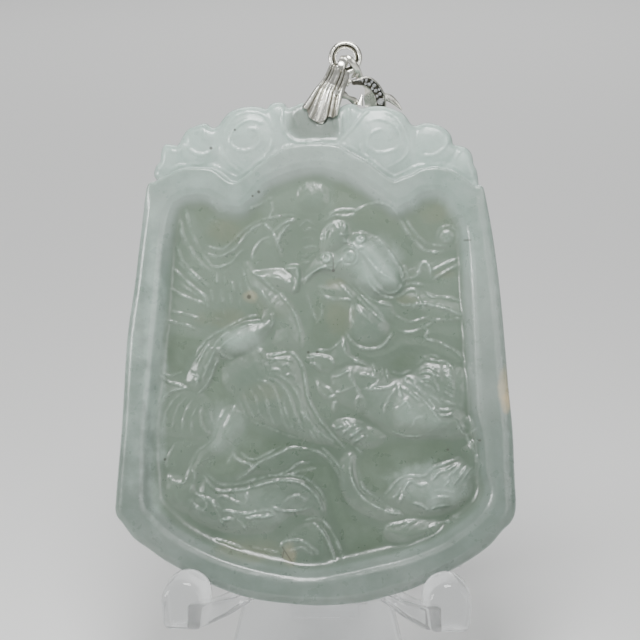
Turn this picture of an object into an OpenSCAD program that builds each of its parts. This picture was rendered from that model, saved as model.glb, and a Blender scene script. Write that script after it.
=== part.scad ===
// Carved jade plaque with a silver bail, leaning back on a small clear display stand.
// The front faces -Y, +X is to the right and +Z is up. The origin is on the surface the stand stands on,
// under the middle of the whole model.

/* [Plaque] */
// Width of the plaque at its widest, near the bottom
plaque_w = 46; // [40:1:52]
// Thickness from the flat back to the top of the rim
plaque_t = 7; // [6:0.5:8]
// Depth of the sunk field below the rim
field_d = 2.2; // [1.8:0.1:2.6]
// Thickness of the crown of clouds above the rim
crown_t = 4.9; // [4.4:0.1:5.4]
// Radius that rounds the outer edges of the rim
edge_r = 0.9; // [0.5:0.1:1.1]
// Radius of the hole that the bail's pegs go into
hole_r = 0.7; // [0.6:0.05:0.8]

/* [Bail] */
// How far the bail leans to the right, in degrees
bail_tilt = 20; // [16:1:24]
// Radius of the chain ring's hole
ring_bore_r = 1.1; // [1.05:0.05:1.2]
// Outer radius of the chain ring
ring_r = 1.98; // [1.9:0.02:2.1]
// Width of the chain ring along its hole
ring_w = 0.9; // [0.7:0.05:0.95]
// Thickness of the silver leaves
leaf_t = 0.4; // [0.35:0.05:0.5]
// Gap between a peg and the wall of its hole
peg_gap = 0.05; // [0.03:0.01:0.08]

/* [Stand] */
// Angle by which the plaque leans back, in degrees
lean = 18; // [16:1:20]
// Height of the plaque's lowest edge above the surface
seat_h = 14; // [12:1:16]
// Thickness of the clear plate behind the plaque
plate_t = 2; // [1.6:0.1:2.4]
// Gap between the plaque and what it rests on
seat_gap = 0.12; // [0.1:0.01:0.2]
// Width of the upturned tab at the end of each arm
tab_w = 5.6; // [5:0.1:6]

/* [Hidden] */
// The face is drawn on the grid on which it was measured: columns to the right, rows downwards
mid_col = 316;
foot_row = 601;
span_cols = 395;
mm = plaque_w / span_cols;
floor_y = plaque_t - field_d;
function u_of(col) = (col - mid_col) * mm;
function v_of(row) = (foot_row - row) * mm;
function face(p) = [u_of(p[0]), v_of(p[1])];

// Outline of the rim, then of the crown above it: [column, row]
RIM_SIDES = [[150, 190], [137, 290], [130, 339], [125, 420], [119, 495], [118.5, 510], [125, 521],
    [136.5, 536], [150, 545.5], [167, 557.5], [185, 567.5], [203, 577.5], [222, 584.5], [243, 592],
    [264, 596.5], [290, 599.5], [316, 601], [342, 599.5], [368, 596.5], [392, 590], [418, 581],
    [445, 568], [466, 556], [480, 546.5], [490, 538], [500, 525.5], [508, 518], [513, 504.5],
    [510, 430], [506, 388.5], [498, 296], [488, 223], [483, 201]];
RIM_TOP = [[474, 189], [463, 181], [452, 174], [442, 171], [432, 170], [420, 172], [411, 177], [400, 181],
    [394, 183], [385, 178], [377, 171.5], [369, 165], [360, 160], [349, 154], [339, 148], [316, 146],
    [293, 148], [280, 153], [269, 161], [257, 170], [247, 178.6], [236, 184], [228, 180], [219, 173],
    [211, 170], [195, 169], [182, 171], [172, 175.5], [158, 183]];
CROWN_TOP = [[157, 183], [153.5, 176], [154, 170], [160, 161], [161, 152], [167, 143.5], [176, 145],
    [179, 143], [183, 136], [187, 130], [195, 126], [205, 123], [214, 127.5], [219, 125], [224, 118],
    [230, 112], [240, 108], [252, 106.5], [267, 109], [274, 103], [281, 102.5], [288, 108], [295, 106],
    [303, 102.5], [322, 102], [343, 105], [355, 105], [361, 109], [368, 107.5], [380, 107], [390, 109],
    [400, 113], [406, 118], [411, 125.5], [422, 124.5], [436, 126], [444, 130], [450, 136], [453, 146],
    [466, 149.5], [472, 160], [473, 166], [476, 172], [478, 186]];
// The sunk field's edge, above and below: [column, row]
FIELD_TOP = [[151, 470], [152, 440], [155, 400], [160, 345], [163, 320], [166, 285], [169, 250], [172, 225],
    [176, 210], [183, 203], [192, 199.5], [207, 199], [219, 204], [226, 208.5], [240, 211], [247, 209],
    [258, 199], [270, 186], [290, 178], [300, 175], [320, 172.5], [340, 178], [350, 181], [360, 187],
    [370, 193], [380, 200], [390, 207], [397, 212], [405, 208], [413, 205], [418, 200], [424, 197],
    [437, 196], [443, 199], [448, 203], [455, 214], [461, 225], [463, 240], [466, 300], [468, 330],
    [470, 370], [473, 410], [478, 430], [480, 450], [483, 472]];
FIELD_FOOT = [[151, 500], [160, 512], [178, 529], [200, 542], [225, 553], [255, 562], [285, 568], [316, 570],
    [350, 564], [375, 558], [400, 552], [420, 545], [440, 536], [455, 526], [468, 516], [478, 506], [483, 495]];

// Raised bodies of the figures: [height mm, width of the rounded edge in columns, outline]
BODIES = [
    // phoenix: spread wing at left, tail, neck, head, comb, leading feathers, shoulder, wing, leg and foot
    [0.45, 12, [[180, 215], [210, 258], [225, 272], [243, 285], [244, 312], [205, 330], [165, 322], [168, 285],
        [172, 250]]],
    [0.65, 9, [[160, 378], [178, 384], [205, 392], [216, 405], [212, 438], [185, 438], [154, 436], [154, 400]]],
    [1.25, 16, [[243, 262], [250, 290], [262, 320], [275, 330], [285, 350], [303, 350], [306, 335], [294, 305],
        [275, 289], [252, 262]]],
    [1.35, 10, [[252, 272], [276, 268], [298, 275], [300, 288], [283, 290], [260, 282]]],
    [1.0, 7, [[252, 268], [258, 243], [271, 235], [286, 220], [297, 218], [286, 256], [281, 268]]],
    [1.35, 9, [[197, 358], [213, 338], [226, 331], [222, 354], [211, 384], [200, 393], [186, 380]]],
    [2.0, 11, [[221, 340], [245, 323], [273, 326], [262, 345], [232, 357]]],
    [1.15, 12, [[232, 357], [262, 347], [292, 352], [308, 385], [314, 404], [347, 449], [305, 441], [250, 420],
        [222, 385]]],
    [1.1, 10, [[222, 410], [214, 437], [199, 451], [184, 480], [196, 482], [225, 451], [252, 418], [230, 403]]],
    [0.85, 9, [[169, 472], [168, 500], [195, 514], [200, 492], [182, 474]]],
    [0.5, 10, [[178, 440], [166, 474], [186, 474], [205, 441]]],
    // clouds and the second foot below the phoenix
    [1.1, 12, [[206, 477], [235, 488], [275, 476], [314, 484], [328, 510], [308, 514], [274, 530], [235, 533],
        [192, 517], [186, 506], [196, 492]]],
    [0.6, 7, [[213, 537], [250, 545], [290, 556], [283, 566], [230, 554]]],
    [0.8, 8, [[291, 530], [318, 520], [336, 555], [338, 566], [298, 566], [282, 543]]],
    [0.55, 6, [[234, 452], [253, 464], [285, 446], [315, 452], [275, 474], [238, 480], [246, 468]]],
    // dragon: nose, muzzle, forehead, jaw, chin, belly, coil, haunch, spikes, tail
    [1.5, 12, [[320, 246], [331, 224], [351, 230], [346, 252], [323, 254]]],
    [1.05, 10, [[318, 256], [345, 240], [372, 240], [392, 284], [372, 300], [345, 282], [318, 276], [305, 286],
        [310, 268]]],
    [1.95, 14, [[350, 238], [377, 241], [399, 266], [404, 282], [386, 292], [367, 268]]],
    [0.85, 8, [[318, 286], [336, 301], [366, 316], [388, 326], [398, 312], [372, 296], [340, 282]]],
    [1.15, 14, [[348, 318], [364, 302], [388, 316], [384, 340], [354, 340]]],
    [1.05, 7, [[344, 338], [356, 343], [384, 348], [412, 336], [448, 348], [467, 374], [466, 412], [458, 412],
        [455, 376], [428, 356], [396, 357], [364, 361]]],
    [1.3, 13, [[355, 360], [386, 372], [413, 371], [440, 360], [458, 382], [452, 414], [452, 440], [405, 438],
        [372, 422], [336, 402], [331, 372]]],
    [1.75, 18, [[384, 410], [398, 386], [430, 394], [454, 420], [432, 438], [391, 430]]],
    [0.7, 6, [[330, 364], [342, 336], [366, 366], [340, 372]]],
    [1.0, 9, [[450, 412], [470, 430], [479, 462], [474, 478], [464, 480], [452, 436]]],
    // hair of the tail, ribbon, cloud, paw and mane
    [1.25, 8, [[383, 497], [404, 474], [432, 464], [460, 454], [474, 482], [450, 510], [410, 514]]],
    [1.1, 8, [[344, 452], [356, 452], [363, 484], [402, 508], [404, 516], [372, 516], [342, 493]]],
    [0.85, 10, [[385, 522], [425, 516], [442, 520], [424, 542], [392, 542]]],
    [1.35, 9, [[332, 424], [352, 417], [370, 432], [358, 445], [336, 434]]],
    [0.9, 8, [[368, 424], [386, 434], [368, 448], [358, 446]]],
    [0.75, 6, [[404, 270], [424, 260], [460, 260], [446, 277], [412, 285]]],
    [0.9, 7, [[400, 296], [428, 293], [463, 304], [463, 318], [424, 318]]],
    [0.7, 6, [[398, 328], [434, 326], [466, 340], [466, 356], [430, 338]]],
    [0.6, 5, [[330, 222], [354, 212], [388, 202], [392, 214], [350, 222]]],
    // the pearl between them
    [1.9, 17, [[297, 197], [302, 185], [314, 180], [326, 185], [331, 197], [326, 209], [314, 214], [302, 209]]]];

// Raised lines on and between the bodies: [height mm, half width in columns, path]
LINES = [
    // plume, comb and beak
    [0.6, 6, [[205, 254], [220, 260], [240, 249], [256, 230], [268, 226]]],
    [0.4, 5, [[250, 212], [262, 204], [273, 202]]],
    [0.5, 5, [[298, 286], [312, 274], [333, 266]]],
    // feathers of the spread wing
    [0.6, 5, [[184, 212], [190, 240], [206, 266]]],
    [0.5, 5, [[177, 246], [190, 269], [208, 286]]],
    [0.5, 5, [[173, 270], [190, 286], [206, 298]]],
    [0.5, 5, [[170, 290], [190, 299], [206, 304]]],
    [0.45, 5, [[168, 314], [186, 318], [204, 323]]],
    // neck and leading feathers
    [0.5, 5, [[255, 274], [278, 292], [297, 316], [302, 342]]],
    [0.45, 5, [[197, 356], [213, 336], [248, 319]]],
    [0.5, 5, [[192, 389], [176, 384], [160, 374]]],
    [0.5, 5, [[190, 388], [172, 391], [160, 402]]],
    // tail feathers
    [0.4, 5, [[172, 394], [158, 410], [156, 432]]],
    [0.4, 5, [[186, 398], [174, 414], [170, 434]]],
    [0.4, 5, [[198, 402], [189, 418], [187, 434]]],
    [0.4, 5, [[206, 404], [202, 418], [206, 434]]],
    // wing edge and flight feathers
    [0.5, 5, [[262, 350], [290, 353], [306, 380], [314, 408], [346, 448]]],
    [0.4, 5, [[280, 378], [298, 392], [312, 424], [324, 440]]],
    [0.4, 5, [[266, 380], [284, 394], [300, 430]]],
    [0.35, 5, [[254, 386], [268, 402], [280, 426]]],
    [0.35, 5, [[242, 394], [252, 408], [260, 422]]],
    // legs and claws
    [0.4, 5, [[222, 414], [208, 444], [186, 478]]],
    [0.5, 5, [[236, 454], [252, 465], [280, 452], [308, 448]]],
    [0.45, 5, [[275, 476], [296, 465], [316, 463]]],
    [0.4, 5, [[312, 448], [330, 460], [342, 474]]],
    // cloud scrolls at the foot
    [0.5, 5, [[208, 478], [222, 489], [262, 483], [290, 479], [316, 492], [324, 510]]],
    [0.45, 5, [[276, 507], [296, 508], [311, 505]]],
    [0.5, 6, [[226, 518], [250, 516], [276, 514]]],
    [0.45, 5, [[217, 539], [250, 547], [283, 552]]],
    [0.45, 5, [[283, 544], [302, 539], [318, 550]]],
    [0.45, 5, [[314, 520], [330, 544], [338, 562]]],
    // dragon's whiskers, brow, jaw and ear
    [0.45, 5, [[334, 215], [356, 212], [384, 203]]],
    [0.45, 5, [[397, 212], [408, 235], [426, 250], [450, 250], [456, 236], [446, 231]]],
    [0.4, 5, [[345, 244], [362, 252], [380, 272]]],
    [0.45, 5, [[334, 269], [318, 272], [306, 282]]],
    [0.45, 5, [[321, 290], [334, 299], [352, 302]]],
    [0.45, 5, [[369, 282], [388, 298], [416, 290]]],
    [0.5, 5, [[418, 276], [424, 264], [430, 277]]],
    [0.45, 5, [[432, 279], [446, 271], [458, 265]]],
    [0.5, 5, [[410, 308], [434, 306], [462, 314]]],
    [0.45, 5, [[346, 332], [356, 346], [376, 349], [391, 334]]],
    [0.4, 5, [[422, 328], [440, 342], [464, 364]]],
    // plates, claws and scales of the coil
    [0.4, 5, [[333, 377], [350, 371], [364, 400]]],
    [0.4, 5, [[309, 359], [332, 361]]],
    [0.4, 5, [[317, 382], [326, 394], [337, 396]]],
    [0.35, 5, [[362, 376], [380, 384], [396, 382]]],
    [0.35, 5, [[404, 380], [420, 381], [434, 372]]],
    [0.35, 5, [[442, 366], [452, 384], [444, 400]]],
    [0.4, 5, [[410, 390], [438, 416]]],
    [0.45, 5, [[452, 414], [464, 433], [475, 456], [468, 474]]],
    // hair of the tail and the ribbon
    [0.45, 5, [[384, 494], [402, 476], [426, 474], [458, 457]]],
    [0.5, 5, [[402, 490], [409, 480]]],
    [0.45, 5, [[434, 477], [448, 468], [462, 462]]],
    [0.45, 5, [[412, 501], [430, 507], [449, 503]]],
    [0.5, 5, [[350, 456], [356, 486], [380, 507], [402, 512]]],
    [0.4, 5, [[338, 430], [352, 425], [364, 434]]]];

// Scrolls of the crown: [column, row, radius in columns, turns]
SCROLLS = [[248, 140, 32, 1.9], [385, 143, 33, 1.9], [200, 141, 19, 1.4], [437, 142, 19, 1.4],
    [168, 160, 12, 1], [465, 164, 12, 1], [277, 116, 12, 1], [357, 118, 12, 1]];
scroll_h = 0.5;

// Rounds the corners of a path by Chaikin's rule, once
function cut_corner(a, b) = [a * 0.75 + b * 0.25, a * 0.25 + b * 0.75];
function rounded(p) = [for (i = [0 : len(p) - 1], q = cut_corner(p[i], p[(i + 1) % len(p)])) q];
function rounded_path(p) = [p[0], for (i = [0 : len(p) - 2], q = cut_corner(p[i], p[i + 1])) q, p[len(p) - 1]];
function cols(p) = [for (q = p) q[0]];
function rows(p) = [for (q = p) q[1]];
function box_of(p, m) = [min(cols(p)) - m, max(cols(p)) + m, min(rows(p)) - m, max(rows(p)) + m];
function in_box(q, b) = q[0] > b[0] && q[0] < b[1] && q[1] > b[2] && q[1] < b[3];
function near(q, a, b) = let (d = b - a, t = max(0, min(1, (q - a) * d / (d * d)))) norm(q - a - t * d);
function path_gap(q, p) = min([for (i = [0 : len(p) - 2]) near(q, p[i], p[i + 1])]);
function ring_gap(q, p) = min([for (i = [0 : len(p) - 1]) near(q, p[i], p[(i + 1) % len(p)])]);
function crosses(q, a, b) = (a[1] > q[1]) != (b[1] > q[1])
    && q[0] < (b[0] - a[0]) * (q[1] - a[1]) / (b[1] - a[1]) + a[0] ? 1 : 0;
function sum(v, i = 0, s = 0) = i == len(v) ? s : sum(v, i + 1, s + v[i]);
function inside(q, p) = sum([for (i = [0 : len(p) - 1]) crosses(q, p[i], p[(i + 1) % len(p)])]) % 2 == 1;

BODY_SHAPES = [for (b = BODIES) let (p = rounded(b[2])) [b[0], b[1], p, box_of(p, 0)]];
LINE_SHAPES = [for (l = LINES) let (p = rounded_path(l[2])) [l[0], l[1], p, box_of(p, l[1])]];
function dome(t) = sqrt(1 - pow(1 - min(1, t), 2));
function body_h(q, b) = in_box(q, b[3]) && inside(q, b[2]) ? b[0] * dome(ring_gap(q, b[2]) / b[1]) : 0;
function line_h(q, l) = in_box(q, l[3]) ? l[0] * pow(max(0, 1 - pow(path_gap(q, l[2]) / l[1], 2)), 1.5) : 0;
function field_h(q) = max([for (b = BODY_SHAPES) body_h(q, b)]) + max([for (l = LINE_SHAPES) line_h(q, l)]);

// Height of the crown's scrolls: a low boss with a spiral thread on it
function boss_h(q, s) = let (d = q - [s[0], s[1]], r = norm(d) / s[2])
    r >= 1 ? 0 : scroll_h * dome((1 - r) * 2) + 0.22 * (0.5 + 0.5 * cos(360 * s[3] * r - atan2(d[1], d[0])));
function crown_h(q) = max([for (s = SCROLLS) boss_h(q, s)]);

// A closed solid of rings of points, one ring for each [inset mm, depth mm] of a profile
function turn(p, i) = let (n = len(p), a = p[(i + n - 1) % n], b = p[(i + 1) % n], d = (b - a) / norm(b - a))
    [-d[1], d[0]];
function ring_at(p, inset, y) = [for (i = [0 : len(p) - 1]) let (q = p[i] + turn(p, i) * inset) [q[0], -y, q[1]]];
module lofted(outline, profile) {
    n = len(outline);
    m = len(profile);
    points = [for (s = profile, q = ring_at(outline, s[0], s[1])) q];
    walls = [for (k = [0 : m - 2], i = [0 : n - 1], t = [0, 1])
        let (j = (i + 1) % n, a = k * n + i, b = k * n + j, c = a + n, d = b + n) t == 0 ? [a, c, b] : [b, c, d]];
    caps = [[for (i = [0 : n - 1]) i], [for (i = [n - 1 : -1 : 0]) (m - 1) * n + i]];
    polyhedron(points, concat(walls, caps), convexity = 8);
}

// A relief on a grid whose columns run from a lower edge to an upper edge, sunk sink mm into what carries it
module relief(lines, base_y, sink) {
    m = len(lines[0]);
    n = len(lines);
    top = [for (l = lines, q = l) [u_of(q[0]), -base_y - q[2], v_of(q[1])]];
    rim = concat([for (i = [0 : n - 1]) i * m], [for (j = [1 : m - 1]) (n - 1) * m + j],
        [for (i = [n - 2 : -1 : 0]) i * m + m - 1], [for (j = [m - 2 : -1 : 1]) j]);
    low = [for (k = rim) [top[k][0], sink - base_y, top[k][2]]];
    skin = [for (i = [0 : n - 2], j = [0 : m - 2], t = [0, 1]) let (a = i * m + j, b = a + m)
        t == 0 ? [a, a + 1, b] : [b, a + 1, b + 1]];
    side = [for (k = [0 : len(rim) - 1], t = [0, 1])
        let (l = (k + 1) % len(rim), a = n * m + k, b = n * m + l) t == 0 ? [rim[k], rim[l], a] : [a, rim[l], b]];
    polyhedron(concat(top, low), concat(skin, side, [[for (k = [0 : len(rim) - 1]) n * m + k]]), convexity = 8);
}

// Grid of the sunk field: the outermost points lie just over the floor, inside its edge
field_cols = 54;
field_rows = 58;
field_margin = 2;
low_h = 0.04;
function grid_row(c, j, top, foot, m, n) = let (a = lookup(c, foot) - m, b = lookup(c, top) + m) a + (b - a) * j / n;
field_grid = [for (i = [0 : field_cols]) let (c = 153 + (481 - 153) * i / field_cols)
    [for (j = [0 : field_rows]) let (r = grid_row(c, j, FIELD_TOP, FIELD_FOOT, field_margin, field_rows),
        edge = i == 0 || j == 0 || i == field_cols || j == field_rows)
        [c, r, edge ? low_h : low_h + field_h([c, r])]]];

// Grids of the crown, left and right of the bail's leaf: their lower edge is buried in the rim
crown_cols = 30;
crown_rows = 9;
crown_foot = [for (i = [len(RIM_TOP) - 1 : -1 : 0]) RIM_TOP[i] + [0, 2]];
function rising(p) = [for (i = [0 : len(p) - 1]) if (i == 0 || p[i][0] > p[i - 1][0]) p[i]];
function crown_grid(from, to) = [for (i = [0 : crown_cols]) let (c = from + (to - from) * i / crown_cols)
    [for (j = [0 : crown_rows]) let (r = grid_row(c, j, rising(CROWN_TOP), crown_foot, 4, crown_rows),
        edge = i == 0 || j == 0 || i == crown_cols || j == crown_rows)
        [c, r, edge ? low_h : low_h + crown_h([c, r])]]];

rim_outline = [for (p = rounded(concat(RIM_SIDES, RIM_TOP))) face(p)];
crown_block = [for (p = concat(CROWN_TOP, [[462, 200], [320, 165], [172, 205]])) face(p)];
field_outline = [for (p = concat([for (i = [len(FIELD_TOP) - 1 : -1 : 0]) FIELD_TOP[i]], FIELD_FOOT)) face(p)];
wall_run = 0.85;
peg_at = [320.6, 119.2];

// Places a model of the plaque's own frame, with its back at y = 0 and its foot at z = 0, on the stand
plaque_y = -7.03;
module leaning() {
    translate([0, plaque_y, seat_h]) rotate([-lean, 0, 0]) children();
}

// Moves the bail's own frame, with its pegs on the y axis, to the hole and tilts it
module at_hole() {
    translate([u_of(peg_at[0]), 0, v_of(peg_at[1])]) rotate([0, bail_tilt, 0]) children();
}

// The crown's block, drilled for the pegs; it stops short of the back and runs down into the rim's body
crown_back = 0.15;
module drilled_crown() {
    difference() {
        rotate([90, 0, 0]) translate([0, 0, crown_back]) linear_extrude(crown_t - crown_back) polygon(crown_block);
        at_hole() rotate([90, 0, 0]) translate([0, 0, -1]) cylinder(r = hole_r, h = plaque_t + 2, $fn = 48);
    }
}

// The rim's body with the sunk field and both reliefs, as one mesh
module carved_body() {
    resize([0, 0, 0]) union() {
        difference() {
            lofted(rim_outline, [[edge_r, 0], [edge_r * 0.3, edge_r * 0.3], [0, edge_r],
                [0, plaque_t - edge_r], [edge_r * 0.3, plaque_t - edge_r * 0.3], [edge_r, plaque_t]]);
            lofted(field_outline, [[0, floor_y], [-wall_run, plaque_t], [-wall_run, plaque_t + 1]]);
        }
        relief(field_grid, floor_y, 0.5);
        relief(crown_grid(162, 298), crown_t, 0.5);
        relief(crown_grid(343, 468), crown_t, 0.5);
    }
}

module jade_plaque() {
    color([0.72, 0.79, 0.74]) leaning() {
        drilled_crown();
        carved_body();
    }
}

// Bail frame: x to the right, z up along the bail, y to the back
ring_z = 7.89;
ring_x = 0.15;
ring_y = -2;
rim_mid_r = (ring_bore_r + ring_r) / 2;
curl_r = 0.9;
curl_z = ring_z - rim_mid_r;
curl_w = 1.2;
curl_t = 0.35;
curl_sweep = 200;
leaf_foot_y = -crown_t - 0.3;
leaf_top_y = ring_y - curl_r;
peg_r = hole_r - peg_gap;
front_peg_end = -2.9;
back_peg_start = -1.6;
back_bar_y = 0.57;
flutes = 5;

// Fluted front leaf: stations [z, half width, middle x, share of the way back to the ring], from its
// scalloped foot to its neck
LEAF = [[-0.1, 1.95, -0.35, 0], [0.9, 2.1, -0.36, 0.01], [2.0, 1.85, -0.25, 0.03], [3.1, 1.55, -0.1, 0.08],
    [4.3, 1.35, 0, 0.3], [5.4, 1.2, 0.06, 0.7], [6.05, 1.0, 0.08, 0.92], [6.45, 0.65, 0.1, 1]];
leaf_steps = 30;
flute_h = 0.1;
function leaf_at(i, k) = let (s = LEAF[i], t = 2 * k / leaf_steps - 1, wave = cos(180 * flutes * t),
    foot = i == 0 ? -0.45 * (1 - t * t * 1.6) - 0.12 * wave : 0,
    y = leaf_foot_y + (leaf_top_y - leaf_foot_y) * s[3])
    [s[2] + s[1] * t, y - flute_h * wave * (1 - i / len(LEAF)), s[0] + foot];
module fluted_leaf() {
    n = leaf_steps + 1;
    m = len(LEAF);
    front = [for (i = [0 : m - 1], k = [0 : n - 1]) leaf_at(i, k) - [0, leaf_t, 0]];
    back = [for (i = [0 : m - 1], k = [0 : n - 1]) leaf_at(i, k)];
    s = n * m;
    skin = [for (i = [0 : m - 2], k = [0 : n - 2], t = [0, 1]) let (a = i * n + k, b = a + n)
        t == 0 ? [a, b, a + 1] : [a + 1, b, b + 1]];
    under = [for (f = skin) [f[2] + s, f[1] + s, f[0] + s]];
    rim = concat([for (k = [0 : n - 1]) k], [for (i = [1 : m - 1]) i * n + n - 1],
        [for (k = [n - 2 : -1 : 0]) (m - 1) * n + k], [for (i = [m - 2 : -1 : 1]) i * n]);
    side = [for (k = [0 : len(rim) - 1], t = [0, 1]) let (a = rim[k], b = rim[(k + 1) % len(rim)])
        t == 0 ? [a, b, a + s] : [b, b + s, a + s]];
    polyhedron(concat(front, back), concat(skin, under, side), convexity = 6);
}

// A bar swept along a path, with a width and a thickness at each point: [x, y, z, half width, half thickness]
bar_sides = 8;
function bar_ring(a, b, c) = let (d = [b[0], b[1], b[2]] - [a[0], a[1], a[2]], w = d / norm(d),
    e = cross(w, [0, 1, 0]), x = e / norm(e), y = cross(x, w))
    [for (k = [0 : bar_sides - 1]) let (t = 360 * (k + 0.5) / bar_sides)
        [c[0], c[1], c[2]] + x * c[3] * cos(t) + y * c[4] * sin(t)];
module bar(path) {
    n = len(path);
    points = [for (i = [0 : n - 1], q = bar_ring(path[max(0, i - 1)], path[min(n - 1, i + 1)], path[i])) q];
    walls = [for (i = [0 : n - 2], k = [0 : bar_sides - 1], t = [0, 1])
        let (l = (k + 1) % bar_sides, a = i * bar_sides + k, b = i * bar_sides + l, c = a + bar_sides, d = b + bar_sides)
        t == 0 ? [a, b, c] : [b, d, c]];
    caps = [[for (k = [bar_sides - 1 : -1 : 0]) k], [for (k = [0 : bar_sides - 1]) (n - 1) * bar_sides + k]];
    polyhedron(points, concat(walls, caps), convexity = 6);
}

// The arch that carries the stones: a quarter ring with a channel in its front, turned so its low end goes back
arch_x = 2.91;
arch_z = 2.7;
arch_y = -0.2;
arch_in = 2.45;
arch_out = 3.8;
arch_t = 1;
arch_turn = 24;
channel = 0.2;
channel_d = 0.4;
module in_arch() {
    translate([arch_x, arch_y, arch_z]) rotate([0, -bail_tilt, 0])
        rotate([0, 45, 0]) rotate([0, 0, arch_turn]) rotate([0, -45, 0]) children();
}
module quarter(r1, r2, y1, y2, a1, a2) {
    rotate([90, 0, 0]) rotate([0, 0, a1]) rotate_extrude(angle = a2 - a1, $fn = 96)
        translate([r1, y1]) square([r2 - r1, y2 - y1]);
}
module stone_arch() {
    in_arch() difference() {
        quarter(arch_in, arch_out, -arch_t / 2, arch_t / 2, -8, 98);
        quarter(arch_in + channel, arch_out - channel, arch_t / 2 - channel_d, arch_t, -4, 92);
    }
}

// Paths of the bail's bars: [x, y, z, half width, half thickness]
SIDE_BAR = [[0.3, -2.98, 6.9, 0.35, 0.2], [0.9, -3.0, 7.15, 0.38, 0.22], [1.6, -2.95, 6.95, 0.4, 0.24],
    [2.3, -2.2, 6.45, 0.4, 0.28], [2.25, -1.3, 5.9, 0.4, 0.36]];
LINK_BAR = [[0.1, -0.95, 6.2, 0.55, 0.2], [0.75, -1.05, 5.65, 0.5, 0.22], [1.6, -1.15, 5.4, 0.5, 0.3]];
BACK_BAR = [[5.95, 0.8, 3.6, 0.55, 0.3], [5.3, 0.75, 2.2, 0.6, 0.25], [3.2, 0.6, 0.6, 0.7, 0.25],
    [1.0, back_bar_y, 0, 0.75, 0.25], [-0.4, back_bar_y, 0, 0.5, 0.25]];
TIP = [[5.7, 0.5, 4.9, 0.45, 0.3], [6.5, 0.55, 5.0, 0.42, 0.22], [7.5, 0.6, 4.7, 0.28, 0.15],
    [8.3, 0.65, 4.32, 0.08, 0.07]];
PRONG = [[0.7, -5.2, 3.3, 0.3, 0.3], [1.5, -4.0, 3.5, 0.4, 0.28], [2.3, -2.6, 3.5, 0.38, 0.28],
    [2.9, -1.6, 3.45, 0.3, 0.22], [3.2, -0.75, 3.4, 0.3, 0.22]];

module peg(y_from, y_to) {
    rotate([90, 0, 0]) translate([0, 0, -y_to]) cylinder(r = peg_r, h = y_to - y_from, $fn = 32);
}

module pinch_bail() {
    color([0.8, 0.8, 0.78]) leaning() at_hole() {
        fluted_leaf();
        translate([0.1, ring_y, curl_z]) rotate([0, 0, -90]) rotate([90, 0, 0])
            rotate_extrude(angle = curl_sweep, $fn = 48) translate([curl_r, -curl_w / 2]) square([curl_t, curl_w]);
        for (path = [SIDE_BAR, LINK_BAR, BACK_BAR, TIP, PRONG]) bar(path);
        stone_arch();
        peg(leaf_foot_y - 0.15, front_peg_end);
        peg(back_peg_start, back_bar_y + 0.08);
    }
}

// Stones of the arch: [angle, radius of the stone, share of the way across the channel]
STONES = [[86, 0.2, 0.5], [76, 0.2, 0.5], [67, 0.19, 0.27], [62, 0.19, 0.73], [55, 0.19, 0.27], [50, 0.19, 0.73],
    [43, 0.19, 0.27], [38, 0.19, 0.73], [31, 0.19, 0.27], [26, 0.19, 0.73], [18, 0.2, 0.3], [8, 0.25, 0.55]];
stone_sides = 8;
stone_gap = 0.05;
module cut_stone(r) {
    cylinder(r1 = r * 0.3, r2 = r, h = r * 0.7, $fn = stone_sides);
    translate([0, 0, r * 0.7]) cylinder(r1 = r, r2 = r * 0.6, h = r * 0.4, $fn = stone_sides);
}
module bail_stones() {
    color([0.86, 0.9, 0.92]) leaning() at_hole() in_arch() for (s = STONES)
        let (r = arch_in + channel + (arch_out - arch_in - 2 * channel) * s[2])
        translate([r * cos(s[0]), -(arch_t / 2 - channel_d + stone_gap), r * sin(s[0])])
        rotate([90, 0, 0]) cut_stone(s[1]);
}

// Chain ring: a round outer band, a groove and a thin inner lip, the same on both faces
module chain_ring() {
    lip = 0.17;
    groove = 0.14;
    r_a = ring_bore_r + lip;
    r_b = r_a + groove;
    r_mid = (r_b + ring_r) / 2;
    round_r = (ring_r - r_b) / 2;
    h = ring_w / 2;
    color([0.84, 0.84, 0.82]) leaning() at_hole() translate([ring_x, ring_y, ring_z]) rotate([90, 0, 0])
        rotate_extrude($fn = 96) {
            translate([ring_bore_r, -h + 0.08]) square([lip, ring_w - 0.16]);
            translate([r_a - 0.02, -h + 0.25]) square([groove + 0.1, ring_w - 0.5]);
            translate([r_b, -h + round_r]) square([2 * round_r, ring_w - 2 * round_r]);
            for (s = [-1, 1]) translate([r_mid, s * (h - round_r)]) circle(r = round_r, $fn = 32);
        }
}

// Stand: a plate that leans behind the plaque, two arms with upturned tabs, and a leg behind
plate_foot_w = 13.2;
plate_seat_w = 8.7;
plate_top_w = 3.4;
plate_top_v = 33;
wing_v = 4.3;
wing_w = 17.2;
wing_h = 1.7;
arm_root_w = 8.4;
arm_w = 2.6;
arm_out = 30;
arm_len = 12.6;
arm_top_v = 0.8;
tab_t = 3.4;
tab_top_v = 3.9;
tab_foot_v = -2.7;
leg_foot_y = 25;
leg_w = 9;
leg_t = 2;
module plate() {
    foot = -seat_h * 1.3;
    translate([0, seat_gap + plate_t, 0]) rotate([90, 0, 0]) linear_extrude(plate_t) {
        polygon([[-plate_foot_w, foot], [plate_foot_w, foot], [plate_seat_w, 0], [plate_top_w, plate_top_v],
            [-plate_top_w, plate_top_v], [-plate_seat_w, 0]]);
        translate([-wing_w, wing_v - wing_h / 2]) square([2 * wing_w, wing_h]);
    }
    translate([0, seat_gap + plate_t, plate_top_v]) rotate([90, 0, 0]) cylinder(r = plate_top_w, h = plate_t, $fn = 64);
}
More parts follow.
